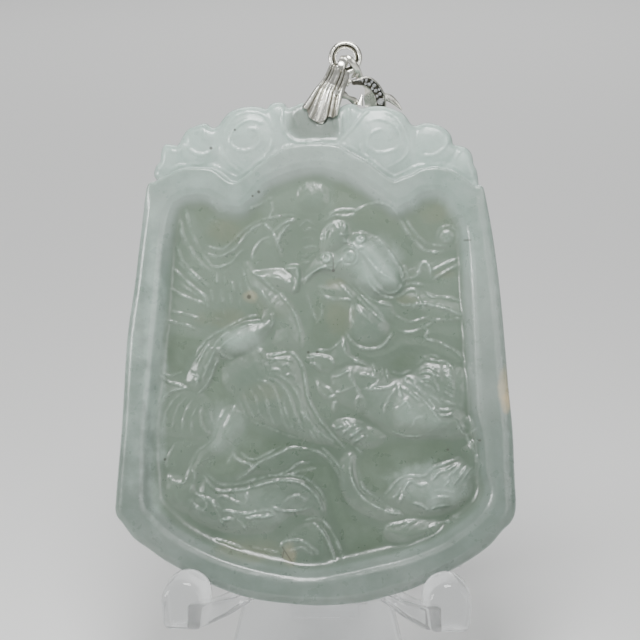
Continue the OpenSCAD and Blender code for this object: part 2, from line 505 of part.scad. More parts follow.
module arm() {
    translate([arm_root_w, seat_gap + 0.5, 0]) rotate([0, 0, arm_out]) rotate([90, 0, 90])
        translate([0, 0, -arm_w / 2]) linear_extrude(arm_w)
            polygon([[0, arm_top_v], [-arm_len + tab_t, arm_top_v - 0.4], [-arm_len + 1.6, arm_top_v - 0.4],
                [-arm_len + 1.6, tab_foot_v], [-arm_len + tab_t, tab_foot_v], [0, -0.6]]);
}
module tab() {
    tip = [arm_root_w + arm_len * sin(arm_out), seat_gap + 0.5 - arm_len * cos(arm_out)];
    r = tab_w / 2;
    translate([tip[0] + 0.2, tip[1] + tab_t, 0]) rotate([90, 0, 0]) linear_extrude(tab_t) {
        translate([-r, tab_foot_v]) square([tab_w, tab_top_v - r - tab_foot_v]);
        translate([0, tab_top_v - r]) circle(r = r, $fn = 64);
    }
}
module display_stand() {
    foot_y = plaque_y + (seat_gap + plate_t) / cos(lean) - seat_h * tan(lean);
    color([0.8, 0.85, 0.88, 0.5]) intersection() {
        union() {
            leaning() {
                plate();
                arm();
                tab();
                mirror([1, 0, 0]) {
                    arm();
                    tab();
                }
            }
            hull() {
                leaning() translate([-leg_w / 4, seat_gap + plate_t - 0.3, plate_top_v - 4]) cube([leg_w / 2, 1, 3]);
                translate([-leg_w / 2, foot_y + leg_foot_y, 0]) cube([leg_w, leg_t, 0.6]);
            }
        }
        translate([-40, -40, 0]) cube([80, 80, 80]);
    }
}

jade_plaque();
pinch_bail();
bail_stones();
chain_ring();
display_stand();
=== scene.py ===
# %% [markdown]
# Carved jade plaque with a silver bail on a small clear stand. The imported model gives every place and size.
# This script dresses it: the stone's carving and its milky, slightly see-through finish, the polished
# silver, the cut stones and the clear moulded stand.

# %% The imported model
import math

import bmesh
import bpy
import numpy as np
from mathutils import Matrix, Vector
from mathutils.geometry import delaunay_2d_cdt


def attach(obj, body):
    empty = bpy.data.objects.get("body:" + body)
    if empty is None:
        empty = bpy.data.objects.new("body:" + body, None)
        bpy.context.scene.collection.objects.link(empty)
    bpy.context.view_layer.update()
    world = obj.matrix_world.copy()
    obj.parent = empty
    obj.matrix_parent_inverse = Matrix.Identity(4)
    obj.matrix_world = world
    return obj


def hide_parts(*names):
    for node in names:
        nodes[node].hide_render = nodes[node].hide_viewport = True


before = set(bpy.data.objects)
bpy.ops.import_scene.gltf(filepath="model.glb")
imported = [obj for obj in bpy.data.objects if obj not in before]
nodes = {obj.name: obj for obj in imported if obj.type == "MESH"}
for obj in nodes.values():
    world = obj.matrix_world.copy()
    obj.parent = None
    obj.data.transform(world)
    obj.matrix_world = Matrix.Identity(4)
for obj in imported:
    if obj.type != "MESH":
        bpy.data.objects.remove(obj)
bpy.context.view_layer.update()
print("nodes:", sorted(nodes))

# %% [markdown]
# The plaque leans back. Its carving was measured on the photo's own grid of columns and rows, so two small
# functions turn a column and a row into millimetres on the plaque, and a third turns a point on the plaque
# into a place in the scene.

# %% The plaque's own frame
MM = 0.001
LEAN = math.radians(18)
SEAT_H = 14.0
PLAQUE_Y = -7.03
PLAQUE_W, PLAQUE_T = 46.0, 7.0
MID_COL, FOOT_ROW, SPAN_COLS = 316.0, 601.0, 395.0
PX = PLAQUE_W / SPAN_COLS


def across(col):
    return (np.asarray(col, float) - MID_COL) * PX


def up_face(row):
    return (FOOT_ROW - np.asarray(row, float)) * PX


def on_plaque(points):
    """Points in mm in the plaque's frame, x right, y back and z up its face, as metres in the scene."""
    x, y, z = np.asarray(points, float).T
    c, s = math.cos(LEAN), math.sin(LEAN)
    return np.column_stack([x, PLAQUE_Y + y * c + z * s, SEAT_H - y * s + z * c]) * MM


def along_plaque(*direction):
    """A direction of the plaque's frame as a direction of the scene."""
    start, end = on_plaque([(0, 0, 0), direction])
    return Vector((end - start) / MM)


print("millimetres for one column:", round(PX, 4))

# %% [markdown]
# The photo looks squarely at the leaning face, from a touch to the right. The camera stands on the normal
# of the face, far enough that the rim's sides are barely seen, and keeps the plaque upright in the frame.

# %% Camera
CAMERA_MM = 172.0
TURN = math.radians(3)
IMAGE = 640
SENSOR = 36


def linked(name, data):
    """A new object in the scene for a mesh, a light or a camera."""
    made = bpy.data.objects.new(name, data)
    bpy.context.scene.collection.objects.link(made)
    return made


front = (Matrix.Rotation(TURN, 3, "Z") @ along_plaque(0, -1, 0)).normalized()
right = along_plaque(0, 0, 1).cross(front).normalized()
upward = front.cross(right).normalized()
aim = Vector(on_plaque([[across(IMAGE / 2), -PLAQUE_T / 2, up_face(IMAGE / 2)]])[0])
camera = linked("camera", bpy.data.cameras.new("camera"))
camera.data.sensor_width = SENSOR
camera.data.lens = SENSOR * CAMERA_MM / (IMAGE * PX)
camera.data.clip_start = 0.01
turned = Matrix((right, upward, front)).transposed().to_4x4()
camera.matrix_world = Matrix.Translation(aim + front * CAMERA_MM * MM) @ turned
bpy.context.scene.camera = camera
print("lens:", round(camera.data.lens, 1), "mm")

# %% [markdown]
# Every piece is a mesh whose place is in its points. One helper makes the mesh from arrays, one makes the
# piece, and two more check its skin and write numbers on its points, so that each cell below is only the
# shape of its own piece.

# %% Making a piece


def plain_mesh(name, points, faces):
    mesh = bpy.data.meshes.new(name)
    mesh.from_pydata([tuple(p) for p in points], [], [tuple(int(i) for i in f) for f in faces])
    mesh.update()
    mesh.shade_smooth()
    return mesh


def piece(name, mesh, body):
    """An object at the origin that rides on a body of the model."""
    made = linked(name, mesh)
    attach(made, body)
    print(name, len(mesh.vertices), "points,", len(mesh.polygons), "faces")
    return made


def check_skin(mesh, turn=True):
    """Turns the faces outwards, and prints the size of the mesh and how many sides lack a second face."""
    skin = bmesh.new()
    skin.from_mesh(mesh)
    if turn:
        bmesh.ops.recalc_face_normals(skin, faces=skin.faces)
        skin.to_mesh(mesh)
    print("open edges:", sum(len(e.link_faces) != 2 for e in skin.edges),
        "mm3:", round(skin.calc_volume(signed=True) / MM**3), "triangles:", len(skin.calc_loop_triangles()))
    skin.free()


def carry(mesh, name, values):
    """One number on each point, for the finish or the nodes to read."""
    layer = mesh.attributes.new(name, "FLOAT", "POINT")
    layer.data.foreach_set("value", np.asarray(values, np.float32))


print("helpers are ready")

# %% [markdown]
# A finish is a graph of shader nodes, and what repeats is made by a graph of geometry nodes. Written as
# plain arithmetic a graph stays readable: a Wire wraps the output of a node, and adding or multiplying
# wires adds the Math nodes for it. A Graph's add method makes every other node, and a Paint is the graph of
# a material.

# %% Arithmetic on nodes


class Wire:
    """The output of a node, with arithmetic that adds Math nodes."""

    def __init__(self, graph, socket):
        self.graph = graph
        self.socket = socket

    def __add__(self, other):
        return self.graph.math("ADD", self, other)

    def __sub__(self, other):
        return self.graph.math("SUBTRACT", self, other)

    def __rsub__(self, other):
        return self.graph.math("SUBTRACT", other, self)

    def __mul__(self, other):
        return self.graph.math("MULTIPLY", self, other)

    def __truediv__(self, other):
        return self.graph.math("DIVIDE", self, other)

    def __pow__(self, other):
        return self.graph.math("POWER", self, other)

    __radd__ = __add__
    __rmul__ = __mul__

    def most(self, other):
        return self.graph.math("MAXIMUM", self, other)

    def clamp(self):
        return self.graph.math("ADD", self, 0, clamp=True)

    def between(self, low, high):
        """0 at low and 1 at high, with a smooth start and end."""
        return self.graph.add("ShaderNodeMapRange", {"interpolation_type": "SMOOTHSTEP"},
            {"Value": self, "From Min": low, "From Max": high})


class Graph:
    """A tree of nodes."""

    def __init__(self, tree):
        self.tree = tree

    def add(self, kind, settings=None, values=None, out=0):
        """A node of that kind: its settings first, then the values or wires of its sockets."""
        node = self.tree.nodes.new(kind)
        for key, value in (settings or {}).items():
            setattr(node, key, value)
        for key, value in (values or {}).items():
            self.put(node.inputs[key], value)
        return Wire(self, node.outputs[out]) if node.outputs else node

    def put(self, socket, value):
        """Links a wire or sets a value. A colour of three numbers gets its alpha here."""
        if isinstance(value, Wire):
            self.tree.links.new(value.socket, socket)
        else:
            socket.default_value = (*value, 1) if socket.type == "RGBA" else value

    def math(self, operation, *values, clamp=False):
        settings = {"operation": operation, "use_clamp": clamp}
        return self.add("ShaderNodeMath", settings, dict(enumerate(values)))


class Paint(Graph):
    """One material and the nodes that make it."""

    def __init__(self, name):
        self.material = bpy.data.materials.new(name)
        self.material.use_nodes = True
        super().__init__(self.material.node_tree)
        self.shader = self.tree.nodes["Principled BSDF"]
        print("finish:", name)

    def mix(self, share, first, second):
        """A colour between two colours."""
        return self.add("ShaderNodeMix", {"data_type": "RGBA"}, {0: share, 6: first, 7: second}, out=2)

    def place(self):
        return self.add("ShaderNodeTexCoord", out="Object")

    def noise(self, place, scale, detail=3, roughness=0.5):
        values = {"Vector": place, "Scale": scale, "Detail": detail, "Roughness": roughness}
        return self.add("ShaderNodeTexNoise", None, values)

    def carried(self, name):
        return self.add("ShaderNodeAttribute", {"attribute_name": name}, out="Fac")

    def bump(self, height, strength, distance):
        values = {"Height": height, "Strength": strength, "Distance": distance}
        self.set(Normal=self.add("ShaderNodeBump", None, values))

    def set(self, **values):
        """The shader's own sockets, by name, with _ for a space."""
        for key, value in values.items():
            self.put(self.shader.inputs[key.replace("_", " ")], value)
        return self.material


print("graphs are ready")

# %% [markdown]
# The outline of the stone was read off the photo: the straight sides and the rounded foot of the
# rim, above them the scalloped crown of clouds, the top of the rim and the edge of the sunk field. A point
# is written as column,row and stands only where the line bends. A smooth curve is drawn through them later.

# %% Outlines


def places(text):
    """The points of a text such as 157,182 150,190, where other words are labels."""
    return [tuple(map(float, word.split(","))) for word in text.split() if not word[0].isalpha()]


RIM_SIDES = places("""
157,182 150,190 143,240 137,290 130,339 125,420 120,480 118.5,500 118,508 120,515 125,521 136.5,536
150,545.5 167,557.5 185,567.5 203,577.5 213,581 228,587 243,592 264,596.5 286,599 316,601 346,599.5
368,596.5 385,592 402,587 418,581 445,568 466,556 480,546.5 490,538 500,525.5 508,518 513,504.5 511.5,470
510,430 506,388.5 502,340 498,296 493,255 488,223 481,190
""")
CROWN = places("""
478,186 477.5,180 476,172 473,166 472,160 470,154 466,149.5 460,147 453,146 452,143 450,136 444,130 436,126
428,124 422,124.5 416,126.5 411,125.5 406,118 400,113 390,109 380,107 368,107.5 361,109 355,105 348,104.5
342,107 335,112 322,113 310,108 303,103 295,106 288,108 285,104 281,102.5 274,103 270,105 267,109 262,107.5
252,106.5 240,108 230,112 224,118 219,125 214,127.5 210,126 205,123 195,126 187,130 183,136 179,143 176,145
167,143.5 163,146 161,152 160,161 156,165 154,170 153.5,176
""")
RIM_TOP = places("""
150,190 158,183 172,175.5 182,171 195,169 211,170 219,173 228,180 236,184 247,178.6 257,170 269,161 280,153
293,148 316,146 339,148 349,154 360,160 369,165 377,171.5 385,178 394,183 400,181 411,177 420,172 432,170
442,171 452,174 463,181 473,189 481,200
""")
FIELD = places("""
169,250 172,225 176,210 183,203 192,199.5 207,199 219,204 226,208.5 240,211 247,209 258,199 270,186 290,178
300,175 320,172.5 340,178 350,181 360,187 370,193 380,200 390,207 397,212 405,208 413,205 418,200 424,197
437,196 443,199 448,203 451,208 461,225 463,240 466,300 468,330 470,370 473,410 478,430 480,450 482,470
486,482 484,495 478,506 468,516 455,526 440,536 420,545 400,552 375,558 350,564 316,570 285,568 255,562
225,553 200,542 178,529 160,512 151,500 151,470 152,440 155,400 160,345 163,320 166,285
""")
print("outline points:", len(RIM_SIDES + CROWN))

# %% [markdown]
# The carving is drawn as a carver works. First come the bodies: each figure's part is a raised pad with a
# rounded edge. Every one was read off an enlarged photo. A stroke is written as its height in mm and
# its width in columns, as height:width, and then its points. A slash starts one more of the same height and
# width. Here the width is that of the rounded edge, and the points are the pad's outline.

# %% Bodies of the figures


def strokes(text):
    """Each stroke of the text as its height, its width and its points."""
    made = []
    for word in text.split():
        if word[0].isalpha():
            continue
        if ":" in word:
            size = tuple(map(float, word.split(":")))
        if "," in word:
            made[-1][-1].extend(places(word))
        else:
            made.append((*size, []))
    return made


BODIES = strokes("""
left wing 0.45:12 180,215 196,235 210,258 225,272 243,285 244,312 225,322 205,330 180,330 165,322 168,285
172,250
tail feathers 0.65:9 160,378 178,384 192,388 205,392 216,405 214,425 212,438 203,441 185,438 165,436 154,436
151,420 154,400
neck 1.25:16 243,262 246,275 250,290 257,302 261,312 262,322 275,330 272,345 285,350 303,350 306,335 301,318
294,305 285,297 275,289 262,275 252,262
head 1.35:10 252,272 262,270 276,268 288,270 298,275 300,288 292,293 283,290 270,288 260,282
comb 0.7:12 252,268 253,255 258,243 264,237 271,235 276,228 286,220 297,218 297,228 291,242 286,256 281,268
268,270
leading feathers 1.2:11 197,358 204,345 213,338 226,331 222,345 222,354 217,370 211,384 200,393 190,389
186,380 191,368
shoulder 1.75:12 208,350 214,340 228,328 245,321 262,319 274,316 274,327 264,342 250,352 234,358 220,358
wing 1.15:16 232,357 245,353 262,347 272,354 292,352 302,363 308,385 314,404 327,424 347,449 330,446 305,441
275,430 250,420 239,410 232,395 222,385 222,366
leg 1.05:14 222,410 218,425 214,437 205,446 199,451 193,463 184,480 196,482 210,461 225,451 238,441 246,430
252,418 243,406 230,403
foot 0.95:12 169,472 165,486 168,500 178,510 195,514 203,505 200,492 196,480 182,474
thigh left 0.5:10 178,440 166,458 166,474 186,474 196,452 205,441
cloud scroll 1.1:12 206,477 218,488 235,488 255,482 275,476 297,475 314,484 325,498 328,510 323,520 308,514
294,514 284,520 274,530 255,533 235,533 210,527 192,517 186,506 196,492
low cloud 0.35:8 213,537 226,538 250,545 281,550 290,556 283,566 255,561 230,554 214,547
mid cloud 0.8:8 291,530 301,522 318,520 328,532 336,555 338,566 318,568 298,566 284,556 282,543
second foot 0.55:6 234,452 242,462 253,464 268,454 285,446 305,446 315,452 310,460 295,465 275,474 255,474
238,480 234,476 246,468 236,460
nose 1.5:12 320,246 323,233 331,224 343,222 351,230 352,242 346,252 333,257 323,254
muzzle 2:16 318,256 330,250 345,240 358,236 372,240 382,262 392,284 388,296 372,300 356,290 345,282 333,276
318,276 305,286 304,278 310,268
forehead 2.45:18 346,240 356,233 370,236 384,243 395,255 404,270 407,284 401,295 388,296 374,290 364,278
354,262 347,250
jaw 0.75:12 318,286 324,296 336,301 352,304 366,316 388,326 398,312 388,300 372,296 352,286 340,282
chin ball 1.15:14 348,318 352,306 364,302 378,308 388,316 390,328 384,340 368,345 354,340 348,330
belly 0.6:12 344,338 350,334 356,343 368,350 384,348 396,338 412,336 430,339 448,348 460,358 467,374 468,395
466,412 458,412 459,392 455,376 444,364 428,356 410,353 396,357 380,362 364,361 352,353
body 1.2:15 355,360 372,364 386,372 400,377 413,371 424,362 440,360 452,368 458,382 458,400 452,414 458,430
452,440 430,437 405,438 386,432 372,422 350,408 336,402 330,388 331,372 342,362
haunch 1.95:18 384,410 386,396 398,386 412,386 430,394 446,406 454,420 450,434 432,438 408,437 391,430
spikes 0.7:6 330,364 333,350 342,336 349,341 352,354 364,360 366,366 352,366 340,372
tail band 1:9 450,412 460,416 470,430 477,446 479,462 474,478 464,480 464,462 460,448 452,436
flames 1.45:18 383,497 392,484 404,474 422,474 432,464 448,458 460,454 474,464 474,482 466,500 450,510
430,514 410,514 392,506
ribbon 1:10 344,452 356,452 357,470 363,484 374,495 388,503 402,508 404,516 392,519 372,516 354,507 342,493
338,472
mound 1.4:14 385,522 398,517 425,516 442,520 440,533 424,542 408,548 392,542 383,532
paw 1.35:9 332,424 340,418 352,417 364,422 370,432 370,442 358,445 346,440 336,434
arm 0.9:8 368,424 386,434 380,444 368,448 358,446 362,434
mane up 0.6:10 404,270 414,264 424,260 440,258 460,260 462,270 446,277 432,283 412,285 403,280
mane mid 0.75:11 400,296 412,290 428,293 446,300 463,304 463,318 440,323 424,318 408,312
mane low 0.5:10 398,328 414,332 434,326 452,328 466,340 466,356 448,346 430,338 410,337
whisker root 0.5:8 330,222 342,213 354,212 370,205 388,202 398,212 392,214 376,212 362,216 350,222
curl 0.55:6 435,240 438,230 448,228 456,234 456,246 447,252 438,249
beak edge 1.3:4 286,268 299,266 302,280 299,292 292,292 294,278
talon claws 0.7:5 306,356 318,353 334,357 338,366 328,372 316,368
claw low 0.7:5 316,378 326,384 336,390 340,404 334,412 330,400 322,396
""")
print("bodies:", len(BODIES))

# %% [markdown]
# On the bodies and between them go the lines: feathers, folds, whiskers, scales and claws are narrow ridges
# with tapered ends. Here the width is half of the ridge.

# %% Lines
LINES = strokes("""
facets on top of the pearl, its mount and the ticks below
0.16:2 301,188 300,199
0.16:2.2 308,184 306,193 / 315,184 317,192
0.16:2 322,187 325,198
0.23:1.8 300,228 308,222 316,226
0.26:2 304,232 312,230 318,233 / 303,240 310,238 314,241 / 304,249 312,247 317,248 / 302,256 310,255 /
302,264 310,263
plume
0.55:2.2 205,252 213,256 220,257 230,253 240,246 250,233 258,227 266,225
0.4:2 205,256 209,262 213,267 222,267 232,263 241,253 246,250
0.35:1.6 206,245 212,248 225,249 238,238 250,228 262,222 280,218 296,217
0.6:2.2 253,260 256,250 262,242 270,238
0.6:2.4 266,225 273,232 279,243 283,258
0.5:2.6 276,232 286,224 297,221
0.5:2.2 278,248 282,236 290,226
0.4:2.2 248,212 258,208 268,202 273,200
0.3:2 272,202 274,212 270,220
0.35:2 214,202 217,208 223,213 230,211
left wing feathers
0.38:3.2 187,206 190,220 196,240 204,254 210,262
0.45:3 183,222 184,235 190,246 197,258 205,267 213,272
0.41:2.4 178,244 182,258 190,269 199,278 210,287 / 173,268 184,278 196,289 206,297 209,307
0.41:2.2 170,288 182,295 194,300 206,304
0.38:2 172,312 186,314 198,318 206,318 / 167,320 178,323 190,326 198,330
0.26:3 180,262 192,275 204,287
0.22:3 180,285 192,291 202,298
0.22:2 218,274 218,283 / 225,272 226,284 / 233,282 235,292 / 240,282 243,292 / 212,290 214,302 / 222,290
224,302 / 231,294 232,304
0.19:2 240,298 241,308 / 224,308 226,318 / 215,318 224,320
neck front and back
0.42:3 253,272 263,278 272,287 281,295 290,304 297,316 301,330 302,342
0.35:2 244,268 248,284 256,300 262,310
0.3:1.8 274,312 274,322 271,328
0.3:3 256,284 266,296 272,308
head and beak
0.45:2.2 274,277 281,279 288,283 294,282
0.45:2 288,268 294,269 298,268 299,278
0.5:2 300,284 310,275 322,268 333,266
shoulder and drape
0.5:2.2 197,356 204,344 213,336 232,325 248,318 258,316
0.45:2.4 222,352 227,357 234,358
0.5:2 219,358 214,371 208,384 199,393
0.4:2.4 210,342 204,354 198,366
0.3:2 214,348 221,338 230,331
0.26:2 219,352 227,342 240,334 / 232,332 248,325 266,323
0.35:2 216,350 209,366 204,380 / 192,372 199,376 198,384
0.55:2.2 192,389 178,384 168,381 160,372 / 190,388 178,389 168,394 160,402
0.45:2 163,371 170,376 182,372
tail feathers at left
0.27:2.2 172,392 162,402 156,416 155,432
0.24:2.2 180,394 171,405 165,420 162,434 / 188,396 178,410 173,430 / 194,400 186,415 183,432 / 200,402
193,418 193,434
0.24:2 204,404 202,418 206,430 212,434
0.21:2 210,410 213,420 220,428
wing leading edge and feathers
0.5:2.4 262,349 268,355 280,354 290,352 297,356 303,366 306,380 308,394 314,408 322,420 334,435 346,448
0.35:1.8 258,346 262,352 268,358 284,358 296,361
0.22:2 270,362 277,359 280,363 / 282,366 289,364 292,369 / 272,370 279,369 282,374 / 286,375 293,374 297,379
/ 296,384 301,387 303,392
0.32:2.2 268,378 277,380 286,388 292,400 296,414 304,428
0.29:2.2 262,380 272,384 278,396 282,410 290,428 / 278,374 288,380 298,392 303,408 312,424 326,442
0.25:2 258,384 266,394 270,408 276,424 / 252,388 258,400 262,414 / 246,394 250,406 255,416 / 240,398 244,408
248,416
0.32:2.2 305,404 310,418 320,430 333,441
0.25:2 300,398 303,412 312,430 318,440
0.22:2 284,398 287,412 296,430
0.25:2 240,410 252,419 275,429 300,438
leg
0.22:2.2 222,412 218,425 214,437 205,446 199,450 193,462 185,479
0.35:3 236,404 232,416 226,428
0.3:3 226,408 222,418
0.5:2.2 170,473 173,480 180,482 187,480 192,466
0.4:2 177,443 170,455 168,467
0.3:2 192,466 196,476 190,492
0.4:2.4 196,492 204,496 208,504 204,509 194,505
0.35:2 190,498 196,504 204,508
0.5:2.2 234,450 236,456 243,461 250,463 254,467
0.45:2.2 242,452 250,458 258,458 268,453 282,445
0.5:2.2 238,478 250,471 258,463 268,458 280,452 292,447 308,448
0.4:2 228,463 232,456 236,452
0.45:2.2 275,476 290,469 300,462 314,461
0.35:2 286,476 300,470 316,467
0.4:2 310,448 324,453 334,464 340,474
0.35:2 322,446 332,456 342,468
scroll
0.55:2.4 206,476 212,485 219,490 228,490 246,488 262,483 276,480 290,479 306,484 318,496 324,510
0.4:1.8 209,474 220,483 234,484 252,480 270,475 290,474 306,477 320,489 328,505
0.35:2.4 284,502 290,496 300,494 308,499
0.45:2.8 274,506 284,509 298,509 311,505
0.6:3.4 248,516 262,515 277,513
0.5:3.2 224,518 236,517
0.45:2 213,500 219,509 222,519 226,524 / 219,508 232,510 248,512 262,509 272,509 280,518 / 234,512 241,520
248,528
0.35:2 248,490 248,500 240,506
0.3:2 222,494 236,500 250,504
0.35:2.2 207,496 214,500 222,508
0.5:2.2 217,538 228,541 244,547
0.45:2.2 253,546 268,549 283,551
0.5:2.4 281,545 287,539 303,539 312,545 319,551
0.35:2 290,549 304,546 314,552
0.5:2.4 314,521 324,531 331,546 337,562
0.35:1.8 304,519 318,516 330,526 340,546 345,560
0.35:2 342,254 344,250 350,248 356,251 358,257 355,264 348,266 343,262 342,256
streaks on the dragon's nose
0.45:2 325,246 327,236 331,228 336,224
0.4:2 335,223 338,230 / 340,222 343,230
0.35:2 346,224 346,231
0.3:2 331,230 333,236
dragon head
0.4:2 322,248 324,235 329,227 336,223 346,224
0.5:2 330,216 340,212 354,212
0.35:1.8 326,222 334,217 346,218 356,216
0.45:2.2 354,214 365,208 376,205 387,207 395,213 401,224 408,235 418,246 426,252 438,253 447,250
0.4:1.8 404,218 411,230 421,241 430,246 446,247
0.35:2.2 436,238 440,230 449,228 456,234 455,244
0.3:2.2 441,239 446,235 450,239
0.5:2.2 343,242 352,244 358,249 366,247 / 357,250 365,255 371,263 379,272 390,279
0.45:2 355,231 372,237 382,243 392,256 401,270 404,282
0.35:2 340,236 350,235 358,236
0.5:2.2 334,270 324,268 314,273 305,283 / 334,270 338,263 343,260
0.5:2.4 320,288 325,296 334,299 350,300 354,305
0.3:2 308,296 312,308 317,320
0.25:2 322,304 322,316 316,324
0.5:2.2 367,277 371,286 380,294 390,298 400,296 407,291 414,290 417,295
0.35:1.8 377,286 388,293 398,291 402,284
0.45:2.2 404,266 406,274 408,280
0.5:2.6 418,276 419,268 424,263 429,268 430,278
0.35:2.2 403,280 414,278 420,272
0.5:2.4 432,280 444,273 456,267
0.4:2 430,272 444,265 456,260
0.35:2 400,288 412,284 424,286
0.45:2 424,292 432,297 446,298 461,302
0.6:2.6 410,308 420,304 434,306 446,309 460,315
0.4:2 416,296 421,303 424,310
0.35:2 396,302 404,306 412,305 / 420,318 440,320 462,318
0.35:2.2 340,284 352,297 362,312 372,323 / 346,280 360,294 372,306 384,318 / 356,284 368,297 380,303 392,306
/ 352,304 352,316 354,324
0.35:2 358,298 370,310 384,322
0.5:2.4 346,332 352,341 360,347 370,349 380,347 387,341 391,333
0.35:2 396,316 408,322 420,320 428,316 / 398,331 412,332 426,326 432,322
0.45:2.2 420,324 427,332 425,338 440,343 456,352 464,364
0.4:2.2 344,340 346,352 353,358 362,362
0.45:2.4 354,359 360,362 366,364
plates, spikes and claws at left of the dragon
0.4:2 333,377 342,374 350,370 352,378 358,390 366,402 / 337,392 346,389 355,385
0.35:2 356,404 359,396 364,398
0.45:2.2 308,358 318,356 330,358 334,364
0.35:2 311,362 318,365 322,370 / 318,350 330,350 342,340
0.45:2.2 317,380 322,391 330,396 337,395
0.35:2 328,386 333,392 / 336,400 334,408
0.35:1.8 372,363 375,369 374,376 / 380,366 382,374 / 386,369 388,378
0.35:2 360,374 370,375 379,377 / 380,378 376,384 368,388
0.4:2 363,389 376,388 388,387 396,382
scales of the coil
0.35:2 391,371 400,374 410,370
0.3:1.8 404,377 408,384 / 411,377 415,384 / 418,378 423,383
0.35:2 418,364 424,359 434,360 442,362 / 419,370 426,366 436,370 / 424,380 432,382 438,390 / 430,368 438,372
441,380 / 444,366 450,372 / 444,374 452,380 / 446,383 454,388 / 444,391 452,396
0.3:2 440,398 448,403 / 432,372 434,380
0.4:2 418,373 426,371 434,374 440,379
0.35:2 420,378 427,377 433,381 437,386 / 404,378 408,376 412,379 / 424,384 430,386 434,391 / 412,384 420,389
426,394
0.3:2 428,394 434,397 440,403 / 446,400 453,404
0.35:2 422,358 430,355 438,357 / 440,360 447,363 452,368
0.3:2 444,370 451,376 / 438,366 442,372 / 446,379 453,384 / 445,387 453,392
haunch
0.45:2.2 398,384 400,392 402,397
0.4:2 403,387 412,394 420,400
0.45:2 412,390 422,398 431,408 438,418
0.4:1.8 416,388 428,398 440,414
0.35:2 384,412 388,398 396,388 / 396,408 402,403 406,400 410,407
0.3:2 412,425 414,418 422,415
0.45:2.2 430,407 440,409 450,408
0.4:2 438,413 446,414 452,412
0.45:2.2 453,416 458,426 464,433 470,430 476,425
0.5:2.4 464,433 470,444 475,456 474,468
0.35:2 392,430 404,434 420,435
flames and hair
0.45:2.2 384,494 392,485 398,478 408,474 424,474 432,466 446,461 458,456
0.6:3.2 402,492 407,481 414,478
0.6:2.6 394,496 400,486
0.4:2 399,500 404,492
0.45:2.2 412,479 420,483 426,482
0.55:2.6 432,477 438,470 446,468 456,462
0.4:2 443,478 452,470 460,463 / 452,482 460,472 466,464 / 460,480 466,470 471,464
0.35:2 442,484 448,478
0.5:2.4 412,500 420,502 428,508
0.45:2.2 430,506 440,503 449,503
0.35:2 430,496 440,494 448,494 / 434,488 446,488 454,490
ribbon
0.55:2.4 350,454 351,472 356,486 364,496 376,504 390,510 401,511
0.4:1.8 359,470 362,484 372,493 384,501 394,508 404,508
0.35:2 388,523 400,521 410,518 / 402,526 408,521 416,517 / 430,524 442,520 456,518
0.3:2 450,516 464,512
paw texture
0.45:2.4 336,428 344,424 / 342,434 350,426 358,423 / 350,436 358,430 364,427
0.45:2.2 354,441 362,436 368,434
0.4:2 346,418 350,424
0.35:2 356,446 362,452
""")
print("lines:", len(LINES))

# %% [markdown]
# A few round things are simplest as flattened balls: the pearl at the top, the eyes and nostrils with their
# hollows, and the clouds of the crown, each of which has a spiral step cut into it. The pockets are where
# the ground is open and the stone thinnest; there the ground is painted darkest, as shade.

# %% Pearl, beads, pockets and crown: column, row, half width, half height, height in mm
PEARL = (314, 198, 18, 18, 0.5)
BEADS = places("327,258,6,5.5,0.5 350,257,6,6,0.15 361,240,5,4.5,0.5 446,238,7,6,0.2")
HOLLOWS = places("327,258,3,2.6,0.35 350,257,3,3,0.1 361,240,2.8,2.5,0.3")
POCKETS = [places(part) for part in """
198,206 208,204 218,210 232,213 245,214 262,212 266,220 250,230 238,244 225,248 212,246 203,235 197,220 /
334,188 350,186 362,192 370,198 352,206 338,210 / 352,218 364,211 380,209 394,216 402,230 396,240 384,236
372,230 358,226 / 406,212 414,207 424,202 440,200 449,208 455,220 450,229 438,230 428,242 416,238 408,226 /
318,300 330,303 344,307 348,320 345,334 334,346 322,348 312,342 311,330 / 172,334 192,336 204,340 198,350
189,362 184,374 172,372 166,355 / 250,427 264,434 285,441 300,446 280,452 262,460 246,464 236,474 218,476
208,468 222,456 240,445 / 374,446 386,442 410,440 440,439 450,445 448,455 430,464 410,472 394,480 383,492
372,488 362,476 359,462 364,451 / 390,364 397,357 408,353 416,355 413,365 402,369 / 222,362 230,372 226,388
236,398 230,406 214,402 206,392 214,376 / 330,474 338,488 344,504 356,518 376,526 384,540 370,552 350,552
342,532 330,506 / 152,480 160,484 162,500 170,512 164,516 152,502 / 300,470 318,462 330,466 336,478 328,486
312,476
""".split("/")]

